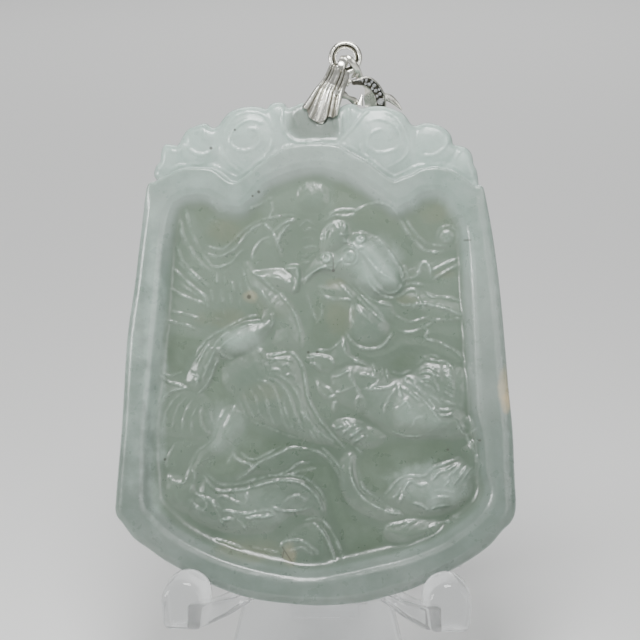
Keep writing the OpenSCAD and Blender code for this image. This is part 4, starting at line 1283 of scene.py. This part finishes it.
def jade_finish():
    paint = Paint("milky_jade")
    place = paint.place()
    face = paint.add("ShaderNodeUVMap", {"uv_map": "face"})
    col, row = (paint.add("ShaderNodeSeparateXYZ", None, {0: face}, out=axis) * IMAGE for axis in (0, 1))
    cloudy = paint.noise(place, 90, 4, 0.55).between(0.35, 0.68)
    veins = paint.noise(place, 420, 5, 0.6).between(0.3, 0.75)
    pocket = paint.carried("pocket")
    # painted shade: crevices come out a little darker and what stands out a little paler, by the crest number
    raised = paint.carried("rise") + paint.carried("crest") * 0.12 + (veins - 0.5) * 0.08
    colour = paint.mix(paint.carried("field"), frame_colour(paint, place, row, cloudy, veins),
        field_colour(paint, row, cloudy, raised, pocket))
    # painted shade: darker towards the foot, where the light from above falls off, less so in the pockets and
    # on raised parts
    low = (row + cloudy * 40).between(230, 520)
    shade = low * 0.27 * (1 - pocket) * (1 - raised.between(0.25, 0.6) * 0.6)
    colour = paint.mix(shade, colour, SHADED)
    mottle = paint.noise(place, 300, 4, 0.6).between(0.2, 0.8)
    colour = paint.mix((1 - mottle) * 0.1, colour, MOTTLED)
    # painted highlight: the crests of the cut lines are painted pale, broken up by noise
    highlight_breaks = paint.noise(place, 1300, 3, 0.65).between(0.38, 0.66)
    colour = paint.mix(paint.carried("line") * (0.04 + highlight_breaks * 0.4), colour, PAINTED_CREST_HIGHLIGHT)
    colour = marked(paint, stained_and_lit(paint, colour, col, row, veins), col, row)
    ripple = paint.noise(place, 260, 3, 0.5) * 0.75 + paint.noise(place, 1400, 4, 0.6) * 0.25
    paint.bump(ripple, 0.4, 0.0003)
    gloss = 0.2 + paint.noise(place, 700, 3, 0.5) * 0.2
    return paint.set(Base_Color=colour, Roughness=gloss, IOR=1.56, Subsurface_Weight=0.5,
        Subsurface_Radius=(0.85, 1.0, 0.9), Subsurface_Scale=0.0011, Coat_Weight=0.3, Coat_Roughness=0.09)


jade.data.materials.append(jade_finish())

# %% [markdown]
# The bail is cast and bent silver. Its straps could be curves with a bevel, but they widen and thin out
# along their length in two directions, so they are swept in code: rings of points along a short path, in
# the bail's own frame, which has its pegs on the y axis and leans to the right.

# %% The bail's own frame, and sweeping a strap along a path
BAIL_TILT = math.radians(20)
STRAP_SIDES, STRAP_STEPS, STRAP_POWER = 16, 5, 0.7


def from_bail(points):
    """Points in the bail's frame as points in the plaque's frame, both in mm."""
    x, y, z = np.asarray(points, float).T
    c, s = math.cos(BAIL_TILT), math.sin(BAIL_TILT)
    return np.column_stack([x * c + z * s + across(HOLE_AT[0]), y, z * c - x * s + up_face(HOLE_AT[1])])


def tube_faces(rings, sides):
    """Quads between rings of points, with a cap at each end."""
    faces = []
    for i in range(rings - 1):
        for k in range(sides):
            j = (k + 1) % sides
            faces.append([i * sides + k, i * sides + j, (i + 1) * sides + j, (i + 1) * sides + k])
    return faces + [list(range(sides))[::-1], [(rings - 1) * sides + k for k in range(sides)]]


def strap(path, side=None):
    """A bar with rounded edges along a path of x, y, z, half width, half thickness, and its dark sides."""
    stations = smooth_path(path, STRAP_STEPS)
    centre, half = stations[:, :3], stations[:, 3:]
    along = np.gradient(centre, axis=0)
    along /= np.linalg.norm(along, axis=1)[:, None]
    wide = np.cross(along, (0, 1, 0)) if side is None else np.tile(side, (len(centre), 1))
    wide = wide / np.linalg.norm(wide, axis=1)[:, None]
    thick = np.cross(wide, along)
    turn = np.radians((np.arange(STRAP_SIDES) + 0.5) * 360 / STRAP_SIDES)
    c, s = (np.sign(wave) * np.abs(wave) ** STRAP_POWER for wave in (np.cos(turn), np.sin(turn)))
    ring = (centre[:, None] + wide[:, None] * half[:, None, :1] * c[None, :, None]
        + thick[:, None] * half[:, None, 1:] * s[None, :, None])
    dark = np.tile(0.9 * np.clip((np.abs(np.cos(turn)) - 0.8) / 0.15, 0, 1), len(centre))
    return from_bail(ring.reshape(-1, 3)), tube_faces(len(centre), STRAP_SIDES), dark


print("the bail leans", round(math.degrees(BAIL_TILT)), "degrees at rest")

# %% [markdown]
# The front leaf is drawn between a left and a right edge, both read off the photo, with a scalloped foot
# and a profile of flutes across it. It bends back from the stone's face to the curl above, and the flutes
# fade towards its neck. The deep parts of the flutes are marked, for the tarnish.

# %% Front leaf: edges from neck to foot, the foot from left to right, flutes across, and its bend
LEAF_LEFT = places("331,63 329,66 327.5,70 323.3,80 315.8,90 309.2,99.2 303.3,106.7")
LEAF_RIGHT = places("348.6,71.5 349.3,74 348.6,79 346.7,86.7 343.3,97.5 340.6,106 339.2,112.5")
LEAF_FOOT = places("""
0,302.6,108.6 0.06,304.8,110.2 0.12,307.4,110.8 0.15,308,113.5 0.2,309.6,118.6 0.3,313.6,122
0.42,319.2,123.6 0.54,325,122.2 0.61,327.8,119.8 0.67,330,118.3 0.76,333,119.8 0.88,336.8,118 1,339.2,113.5
""")
FLUTES = places("""
0,-0.1 0.06,0.1 0.145,-0.15 0.2,0.06 0.26,-0.13 0.32,0.06 0.44,-0.04 0.54,0.1 0.605,-0.17 0.68,0.07
0.76,-0.15 0.86,0.12 0.95,0.06 1,-0.12
""")
LEAF_BEND = places("-0.1,0 0.9,0.01 2,0.03 3.1,0.08 4.3,0.3 5.4,0.7 6.05,0.92 6.45,1")
LEAF_BACK, LEAF_NECK, LEAF_T = -4.75, -2.9, 0.4
LEAF_ROWS, LEAF_COLS = 40, 90
FOOT_FROM = 0.55


def leaf_skins(s, t):
    """The front and back skins, s from neck to foot and t from left to right, and how deep a flute is."""
    edges = [smooth_path(side, 8) for side in (LEAF_LEFT, LEAF_RIGHT)]
    at = np.linspace(0, 1, len(edges[0]))
    foot = np.array(LEAF_FOOT)
    down = ease((s - FOOT_FROM) / (1 - FOOT_FROM))
    spot = []
    for k in (0, 1):
        left, right = (np.interp(s, at, side[:, k]) for side in edges)
        level = left * (1 - t) + right * t
        spot.append(level + down * (np.interp(t, foot[:, 0], foot[:, k + 1]) - level[-1]))
    x, z = across(spot[0]), up_face(spot[1])
    high = (x - across(HOLE_AT[0])) * math.sin(BAIL_TILT) + (z - up_face(HOLE_AT[1])) * math.cos(BAIL_TILT)
    back = LEAF_BACK + (LEAF_NECK - LEAF_BACK) * np.interp(high, *np.array(LEAF_BEND).T)
    flute = np.interp(t, *smooth_path(FLUTES, 6).T)
    front = back - LEAF_T - flute * (0.45 + 0.55 * s) - 0.05 * np.sin(s * 9) * (1 - s)
    dark = np.clip((-0.05 - flute) / 0.08, 0, 1).ravel()
    skins = [np.column_stack([x.ravel(), y.ravel(), z.ravel()]) for y in (front, back)]
    return np.vstack(skins), np.concatenate([dark, dark])


def leaf():
    s, t = np.meshgrid(np.linspace(0, 1, LEAF_ROWS), np.linspace(0, 1, LEAF_COLS), indexing="ij")
    points, dark = leaf_skins(s, t)
    size = LEAF_ROWS * LEAF_COLS
    faces = []
    for i in range(LEAF_ROWS - 1):
        for a in range(i * LEAF_COLS, (i + 1) * LEAF_COLS - 1):
            b = a + LEAF_COLS
            faces += [[a, b, b + 1, a + 1], [size + a, size + a + 1, size + b + 1, size + b]]
    row, col = np.arange(LEAF_COLS), np.arange(1, LEAF_ROWS) * LEAF_COLS
    border = np.concatenate([row, col + LEAF_COLS - 1, size - LEAF_COLS + row[-2::-1], col[-2::-1]])
    faces += [[a, b, size + b, size + a] for a, b in zip(border, np.roll(border, -1))]
    return points, faces, dark


print("leaf:", LEAF_ROWS * LEAF_COLS * 2, "points")

# %% Straps, arch and pegs: x, y, z, half width, half thickness in the bail's frame
CURL_AT, CURL_R = (0.1, -2, 6.65), 1.25
CURL_TURNS = np.radians(np.arange(-16, 205, 12))
ALONG_X = (1, 0, 0)
PEG_R = 0.65
PEGS = (-4.9, -3.9, -2.9), (-1.6, -0.5, 0.65)
STRAPS = [places(part) for part in """
side bar 0.1,-2.8,7.65,0.36,0.18 0.6,-2.95,7.8,0.4,0.2 1.3,-2.8,7.5,0.42,0.22 1.95,-2.2,7,0.4,0.26
    2.35,-1.3,6.55,0.42,0.34 /
link bar 0.1,-0.95,6.2,0.55,0.2 0.75,-1.05,5.65,0.5,0.22 1.6,-1.15,5.4,0.5,0.3 /
back bar 5.95,0.8,4.1,0.55,0.3 5.3,0.75,2.2,0.6,0.25 3.2,0.6,0.6,0.7,0.25 1,0.57,0,0.75,0.25
    -0.4,0.57,0,0.5,0.25 /
tip 5.7,0.5,5.5,0.5,0.3 6.5,0.55,5.55,0.45,0.22 7.5,0.6,5.2,0.3,0.15 8.4,0.65,4.7,0.06,0.05 /
prong 0.7,-5.1,3.3,0.3,0.3 1.5,-4,3.5,0.46,0.3 2.1,-2.9,3.52,0.26,0.22 2.8,-1.7,3.55,0.42,0.22
    3.2,-0.75,3.4,0.26,0.2 /
fork 2.2,-2,6.8,0.3,0.2 1.85,-1.85,6.4,0.24,0.18 1.6,-1.6,6,0.1,0.1 /
spur 3.55,-1.2,3.35,0.42,0.3 3.5,-1.25,3.9,0.26,0.2 3.41,-1.3,4.6,0.03,0.03
""".split("/")]
ARCH_AT = (2.91, -0.2, 3.25)
ARCH_TURNS = [("Y", -20), ("Y", 45), ("Z", 24), ("Y", -45)]
ARCH_START, ARCH_END, ARCH_STEPS = 98, -8, 44
ARCH_SECTION = places("""
2.5,-0.5 3.75,-0.5 3.82,-0.42 3.84,0 3.82,0.44 3.76,0.52 3.68,0.54 3.61,0.48 3.6,0.1 2.65,0.1 2.64,0.48
2.57,0.54 2.5,0.52 2.45,0.44 2.45,-0.45
""")
ARCH_R, ARCH_FLOOR, ARCH_INNER_BACK = 2.45, (8, 9), (0, 14)


def on_arch(points):
    """Points [angle, radius, height of the front] of the turned arch in the bail's frame."""
    turned = Matrix.Translation(ARCH_AT)
    for axis, degrees in ARCH_TURNS:
        turned = turned @ Matrix.Rotation(math.radians(degrees), 4, axis)
    angle, r, q = np.asarray(points, float).T
    flat = np.column_stack([r * np.cos(np.radians(angle)), -q, r * np.sin(np.radians(angle))])
    return np.array([turned @ Vector(p) for p in flat])


def band(degrees, r):
    """The arch is thin where it leaves the leaf and gets its full width after 40 degrees."""
    return ARCH_R + (r - ARCH_R) * (0.4 + 0.6 * ease((ARCH_START - degrees) / 40))


def arch():
    """A channel for the stones, with an inner wall that slopes in towards the back at its low end."""
    points, dark = [], []
    for a in np.linspace(ARCH_START, ARCH_END, ARCH_STEPS):
        for k, (r, q) in enumerate(ARCH_SECTION):
            slope = 1.05 * ease((66 - a) / 40) if k in ARCH_INNER_BACK else 0
            points.append((a, band(a, r) - slope, q))
            dark.append(float(k in ARCH_FLOOR))
    return from_bail(on_arch(points)), tube_faces(ARCH_STEPS, len(ARCH_SECTION)), np.array(dark)


print("straps:", len(STRAPS), "and the arch turns", ARCH_START - ARCH_END, "degrees")

# %% Silver bail
curl = [(CURL_AT[0], CURL_AT[1] - CURL_R * math.cos(a), CURL_AT[2] + CURL_R * math.sin(a), 0.5, 0.17)
    for a in CURL_TURNS]
parts = [leaf(), strap(curl, ALONG_X)] + [strap(path) for path in STRAPS]
parts += [strap([(0, y, 0, PEG_R, PEG_R) for y in peg], ALONG_X) for peg in PEGS] + [arch()]
starts = np.cumsum([0] + [len(points) for points, _, _ in parts])
bail_faces = [[i + start for i in f] for start, (_, faces, _) in zip(starts, parts) for f in faces]
bail = piece("silver_bail", plain_mesh("silver_bail", on_plaque(np.vstack([part[0] for part in parts])),
    bail_faces), "bail")
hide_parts("pinch_bail")
check_skin(bail.data)
bail.data.set_sharp_from_angle(angle=math.radians(48))
carry(bail.data, "groove", np.concatenate([part[2] for part in parts]))

# %% [markdown]
# The silver is polished, with black tarnish left in its grooves. On the bail the grooves are carried by its
# points. The chain ring is the model's own mesh, which has no such numbers, so there the groove between the
# ring's outer band and its thin lip is found by the distance from the ring's axis, and painted dark as the
# shade in that gap.

# %% Silver
BRIGHT = (0.66, 0.65, 0.57), (0.93, 0.92, 0.85)
TARNISH_AND_SHADE = (0.035, 0.033, 0.022)
RING_AT = (0.15, -2.0, 7.89)
RING_GROOVE, GROOVE_EDGE = (1.18, 1.52), 0.04


def silver_finish(name, groove_of):
    """Polished silver, black where groove_of gives 1: tarnish on the bail, painted shade on the ring."""
    paint = Paint(name)
    place = paint.place()
    worn = paint.noise(place, 900, 4, 0.6).between(0.3, 0.75)
    fine = paint.noise(place, 3500, 4, 0.6)
    paint.bump(fine, 0.35, 0.00005)
    tarnish_and_shade = (groove_of(paint, place) * 0.95 + worn * 0.1 + fine * 0.2 - 0.14).clamp()
    colour = paint.mix(tarnish_and_shade, paint.mix(worn, *BRIGHT), TARNISH_AND_SHADE)
    return paint.set(Base_Color=colour, Metallic=0.95, Roughness=0.16 + worn * 0.12 + tarnish_and_shade * 0.2)


def bail_grooves(paint, place):
    return paint.carried("groove")


def ring_grooves(paint, place):
    centre = tuple(on_plaque(from_bail([RING_AT]))[0])
    axis = tuple(along_plaque(0, 1, 0).normalized())
    away = paint.add("ShaderNodeVectorMath", {"operation": "SUBTRACT"}, {0: place, 1: centre})
    flat = paint.add("ShaderNodeVectorMath", {"operation": "CROSS_PRODUCT"}, {0: away, 1: axis})
    gap = paint.add("ShaderNodeVectorMath", {"operation": "LENGTH"}, {0: flat}, out="Value") / MM
    # painted shade: the gap between the ring's band and its lip is painted dark
    low, high = RING_GROOVE
    outer = gap.between(high - GROOVE_EDGE, high + 1.5 * GROOVE_EDGE)
    return gap.between(low - GROOVE_EDGE, low + GROOVE_EDGE) * (1 - outer)


bail.data.materials.append(silver_finish("silver_with_dark_grooves", bail_grooves))
ring = nodes["chain_ring"]
ring.data.materials.clear()
ring.data.materials.append(silver_finish("ring_silver", ring_grooves))

# %% [markdown]
# Small clear stones sit in the arch's channel. They are all one cut, so Geometry Nodes set it on a mesh
# that has one point for each stone. The cut is a cylinder with a ring at half its height, pulled in at the
# foot and at the table. The nodes work on the unrolled channel, and the result is then bent onto the arch.

# %% Cut stones: angle on the arch, radius on the arch, radius of the stone
STONES = places("""
91,3.02,0.13 84,3.05,0.17 76,3.1,0.2 68,3.28,0.2 66,2.85,0.18 58,3,0.22 56,3.42,0.19 47,3.28,0.24
45,2.83,0.19 36,3.03,0.24 34,3.45,0.18 25,3.28,0.24 23,2.84,0.2 9,3.12,0.42
""")
STONE_TURN = 0.37
STONE_CUT = {"Sides": 8, "Foot Width": 0.5, "Table Width": 0.55, "Girdle Height": 0.42, "Foot Depth": 0.3,
    "Table Height": 0.14}


def stone_finish():
    paint = Paint("clear_cut_stone")
    tint = paint.noise(paint.place(), 800, 1).between(0.4, 0.6)
    colour = paint.mix(tint, (0.9, 0.93, 0.96), (0.98, 0.98, 0.98))
    return paint.set(Base_Color=colour, Roughness=0.02, IOR=2.1, Transmission_Weight=0.8)


def stone_nodes(finish):
    """A tree that sets a cut stone on each point, by the point's size and turn."""
    tree = bpy.data.node_groups.new("stones_in_channel", "GeometryNodeTree")
    tree.interface.new_socket("Places", in_out="INPUT", socket_type="NodeSocketGeometry")
    for name, value in STONE_CUT.items():
        kind = "NodeSocketInt" if isinstance(value, int) else "NodeSocketFloat"
        tree.interface.new_socket(name, in_out="INPUT", socket_type=kind)
    tree.interface.new_socket("Stones", in_out="OUTPUT", socket_type="NodeSocketGeometry")
    graph = Graph(tree)
    given = {socket.name: Wire(graph, socket) for socket in tree.nodes.new("NodeGroupInput").outputs}
    blank = graph.add("GeometryNodeMeshCylinder", {"fill_type": "NGON"},
        {"Vertices": given["Sides"], "Side Segments": 2, "Radius": 1, "Depth": 2})
    spot = graph.add("GeometryNodeInputPosition")
    x, y, z = (graph.add("ShaderNodeSeparateXYZ", None, {0: spot}, out=axis) for axis in range(3))
    above, below = z.most(0), (0 - z).most(0)
    share = 1 - above * (1 - given["Table Width"]) - below * (1 - given["Foot Width"])
    height = given["Girdle Height"] + above * given["Table Height"] - below * given["Foot Depth"]
    moved = graph.add("ShaderNodeCombineXYZ", None, {0: x * share, 1: y * share, 2: height})
    cut = graph.add("GeometryNodeSetPosition", None, {"Geometry": blank, "Position": moved})
    size, turn = (graph.add("GeometryNodeInputNamedAttribute", None, {"Name": name})
        for name in ("size", "turn"))
    values = {"Points": given["Places"], "Instance": cut,
        "Rotation": graph.add("ShaderNodeCombineXYZ", None, {2: turn}),
        "Scale": graph.add("ShaderNodeCombineXYZ", None, {0: size, 1: size, 2: 1})}
    stones = graph.add("GeometryNodeInstanceOnPoints", None, values)
    whole = graph.add("GeometryNodeRealizeInstances", None, {"Geometry": stones})
    done = graph.add("GeometryNodeSetMaterial", None, {"Geometry": whole, "Material": finish})
    graph.add("NodeGroupOutput", None, {"Stones": done})
    return tree


def set_stones():
    """The stones as one plain mesh on the unrolled channel: x along it, y its radius and z the height."""
    angle, r, size = np.array(STONES).T
    seats = bpy.data.meshes.new("stone_places")
    seats.from_pydata(np.column_stack([np.radians(angle) * r, r, 0 * r]).tolist(), [], [])
    carry(seats, "size", size)
    carry(seats, "radius", r)
    carry(seats, "turn", STONE_TURN * 2 * math.pi / STONE_CUT["Sides"] * np.arange(len(r)))
    holder = linked("stone_places", seats)
    modifier = holder.modifiers.new("stones", "NODES")
    modifier.node_group = stone_nodes(stone_finish())
    for socket in modifier.node_group.interface.items_tree:
        if socket.name in STONE_CUT:
            modifier[socket.identifier] = STONE_CUT[socket.name]
    mesh = bpy.data.meshes.new_from_object(holder.evaluated_get(bpy.context.evaluated_depsgraph_get()))
    bpy.data.objects.remove(holder)
    return mesh


stone_mesh = set_stones()
radius = [value.value for value in stone_mesh.attributes["radius"].data]
x, y, z = np.array([v.co for v in stone_mesh.vertices]).T
bent = on_plaque(from_bail(on_arch(np.column_stack([np.degrees(x / radius), y, z]))))
stone_mesh.vertices.foreach_set("co", bent.astype(np.float32).ravel())
stone_mesh.name = "cut_stones"
stone_mesh.shade_flat()
stones = piece("cut_stones", stone_mesh, "bail")
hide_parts("bail_stones")
check_skin(stones.data)

# %% [markdown]
# The stand is one clear moulding: a plate that leans behind the plaque, two arms with upturned rounded tabs
# that the plaque's foot rests on, and a leg behind. Each part is a prism between two outlines with its
# edges rounded by a Bevel. They are then joined into one skin with Boolean, so that no wall is left inside
# the clear body to catch the light.

# %% Parts of the stand
SEAT_GAP, PLATE_T, PLATE_SOFT = 0.12, 2.0, 0.75
PLATE_LOW, PLATE_WAIST, PLATE_TOP_R, PLATE_TOP_V = (13.2, -18.2), 8.7, 3.4, 33
WING_W, WING_V, WING_H = 17.2, 4.3, 1.7
ARM_ROOT, ARM_OUT, ARM_LEN, ARM_W = 8.4, math.radians(30), 12.6, 2.6
ARM_SIDE = [(0, 0.8), (-4.5, 0.35), (-9.2, 0.4), (-11, 0.4), (-11, -2.1), (-9.4, -2.1), (-5, -1.6), (0, -0.6)]
ARM_Y = SEAT_GAP + 0.5
TAB_T, TAB_LEAN = 3.1, 0.5
TAB_OUT = {-1: 0.05, 1: 0.65}
LEG_W, LEG_TOP_W, LEG_OUT, LEG_T = 4.5, 2.25, 25, 2


def arc(radius, at_z, steps=25):
    """Half a circle over the middle line, from the right to the left."""
    turn = np.radians(np.linspace(0, 180, steps))
    return [(radius * math.cos(t), at_z + radius * math.sin(t)) for t in turn]


def moulded(front, back, soften, steps=4):
    """A prism between two outlines that match point by point, in the plaque's frame, with rounded edges."""
    count = len(front)
    faces = [list(range(count))[::-1], [count + i for i in range(count)]]
    faces += [[i, j, count + j, count + i] for i, j in loop_sides(0, count)]
    mesh = plain_mesh("moulded", on_plaque(np.vstack([front, back])), faces)
    mesh.shade_flat()
    check_skin(mesh)
    solid = linked("moulded", mesh)
    bevel = solid.modifiers.new("edge", "BEVEL")
    bevel.width = soften * MM
    bevel.segments = steps
    bevel.angle_limit = math.radians(35)
    return solid


def slab(outline, y_front, y_back, soften):
    return moulded([(x, y_front, z) for x, z in outline], [(x, y_back, z) for x, z in outline], soften)


def plate():
    low, bottom = PLATE_LOW
    outline = [(-low, bottom), (low, bottom), (PLATE_WAIST, 0)] + arc(PLATE_TOP_R, PLATE_TOP_V)
    return slab(outline + [(-PLATE_WAIST, 0)], SEAT_GAP, SEAT_GAP + PLATE_T, PLATE_SOFT)


def wings():
    """The bar across the plate that carries the arms."""
    low, high = WING_V - WING_H / 2, WING_V + WING_H / 2
    outline = [(-WING_W, low), (WING_W, low), (WING_W, high), (-WING_W, high)]
    return slab(outline, SEAT_GAP + 0.05, SEAT_GAP + PLATE_T - 0.05, 0.35)


def tab(side):
    """The front outline of a tab is lower and further out than the back one, as its arm points outwards."""
    tip_x = ARM_ROOT + ARM_LEN * math.sin(ARM_OUT) + TAB_OUT[side]
    tip_y = ARM_Y - ARM_LEN * math.cos(ARM_OUT)
    back = [(-2.55, -2.1), (2.55, -2.1)] + arc(2.8, 1.75)
    front = [(-2.1, -2.2), (2.1, -2.2)] + arc(2.45, 0.85)
    return moulded([(side * (tip_x + x), tip_y, z) for x, z in front],
        [(side * (tip_x - TAB_LEAN + x), tip_y + TAB_T, z) for x, z in back], 0.75, 6)


def arm(side):
    c, s = math.cos(ARM_OUT), math.sin(ARM_OUT)
    return moulded(*[[(side * (ARM_ROOT - a * s + off * c), ARM_Y + a * c + off * s, z) for a, z in ARM_SIDE]
        for off in (-ARM_W / 2, ARM_W / 2)], 0.45)


def rear_leg():
    """From under the plate's top down to the floor, given in the plaque's frame."""
    y_top = SEAT_GAP + PLATE_T - 0.3
    foot_y = (SEAT_GAP + PLATE_T) / math.cos(LEAN) - SEAT_H * math.tan(LEAN) + LEG_OUT
    c, s = math.cos(LEAN), math.sin(LEAN)
    corners = (-LEG_W, foot_y), (LEG_W, foot_y), (LEG_W, foot_y + LEG_T), (-LEG_W, foot_y + LEG_T)
    foot = [(x, dy * c + SEAT_H * s, dy * s - SEAT_H * c) for x, dy in corners]
    top = [(-LEG_TOP_W, y_top, 29.2), (LEG_TOP_W, y_top, 29.2), (LEG_TOP_W, y_top + 0.4, 32),
        (-LEG_TOP_W, y_top + 0.4, 32)]
    return moulded(top, foot, 0.3, 2)


stand_parts = [plate(), wings(), rear_leg()] + [make(side) for side in (-1, 1) for make in (arm, tab)]
print("parts of the stand:", len(stand_parts))

# %% Clear stand
for other in stand_parts[1:]:
    join = stand_parts[0].modifiers.new("join", "BOOLEAN")
    join.operation = "UNION"
    join.solver = "EXACT"
    join.object = other
whole = bpy.data.meshes.new_from_object(stand_parts[0].evaluated_get(bpy.context.evaluated_depsgraph_get()))
for part in stand_parts:
    bpy.data.objects.remove(part)
skin = bmesh.new()
skin.from_mesh(whole)
bmesh.ops.bisect_plane(skin, geom=skin.verts[:] + skin.edges[:] + skin.faces[:], plane_co=(0, 0, 0),
    plane_no=(0, 0, -1), clear_outer=True)
bmesh.ops.holes_fill(skin, edges=[e for e in skin.edges if e.is_boundary])
skin.to_mesh(whole)
skin.free()
whole.name = "clear_stand"
whole.shade_smooth()
stand = piece("clear_stand", whole, "base")
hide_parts("display_stand")
check_skin(stand.data)
stand.data.set_sharp_from_angle(angle=math.radians(35))

# %% [markdown]
# Clear moulded plastic is glossy, with a faint flow pattern and a few smears on its surface.

# %% Clear plastic


def plastic_finish():
    paint = Paint("clear_moulded_plastic")
    place = paint.place()
    paint.bump(paint.noise(place, 130, 2, 0.4), 0.12, 0.0006)
    smear = paint.noise(place, 500, 3, 0.6).between(0.45, 0.75)
    return paint.set(Base_Color=(0.95, 0.97, 0.98), Roughness=0.02 + smear * 0.05, IOR=1.49,
        Transmission_Weight=1.0, Alpha=0.75)


stand.data.materials.append(plastic_finish())

# %% [markdown]
# A plain pale floor, and soft light from above and a little from the left, as on the photo: it draws a
# bright line along the upper side of every carved edge. The last light brightens the wall of floor behind.

# %% Floor and lights: place, size, watts and what a light looks at
LIGHTS = {"key": ((0, -0.075, 0.17), 0.065, 0.27, aim), "side": ((-0.3, -0.2, 0.16), 0.12, 0.8, aim),
    "fill": ((0.3, -0.4, 0.2), 0.3, 0.6, aim), "backdrop": ((0, 0.7, 0.8), 0.9, 7, (0, 0.45, 0))}
FLOOR_SIZE, FLOOR_COLOUR = 3, (0.78, 0.78, 0.77)
SKY, SKY_STRENGTH = (0.97, 0.99, 1, 1), 0.3


def soft_light(name, place, size, watts, towards):
    lamp = linked(name, bpy.data.lights.new(name, "AREA"))
    lamp.data.shape = "DISK"
    lamp.data.size = size
    lamp.data.energy = watts
    lamp.location = place
    lamp.rotation_euler = (Vector(towards) - Vector(place)).to_track_quat("-Z", "Y").to_euler()
    print("light:", name, watts, "W")


bpy.ops.mesh.primitive_plane_add(size=FLOOR_SIZE)
floor = bpy.context.object
floor.name = "floor"
floor.data.materials.append(Paint("plain_floor").set(Base_Color=FLOOR_COLOUR, Roughness=0.9))
for name, settings in LIGHTS.items():
    soft_light(name, *settings)
world = bpy.data.worlds.new("studio")
bpy.context.scene.world = world
world.use_nodes = True
background = world.node_tree.nodes["Background"]
background.inputs["Color"].default_value = SKY
background.inputs["Strength"].default_value = SKY_STRENGTH
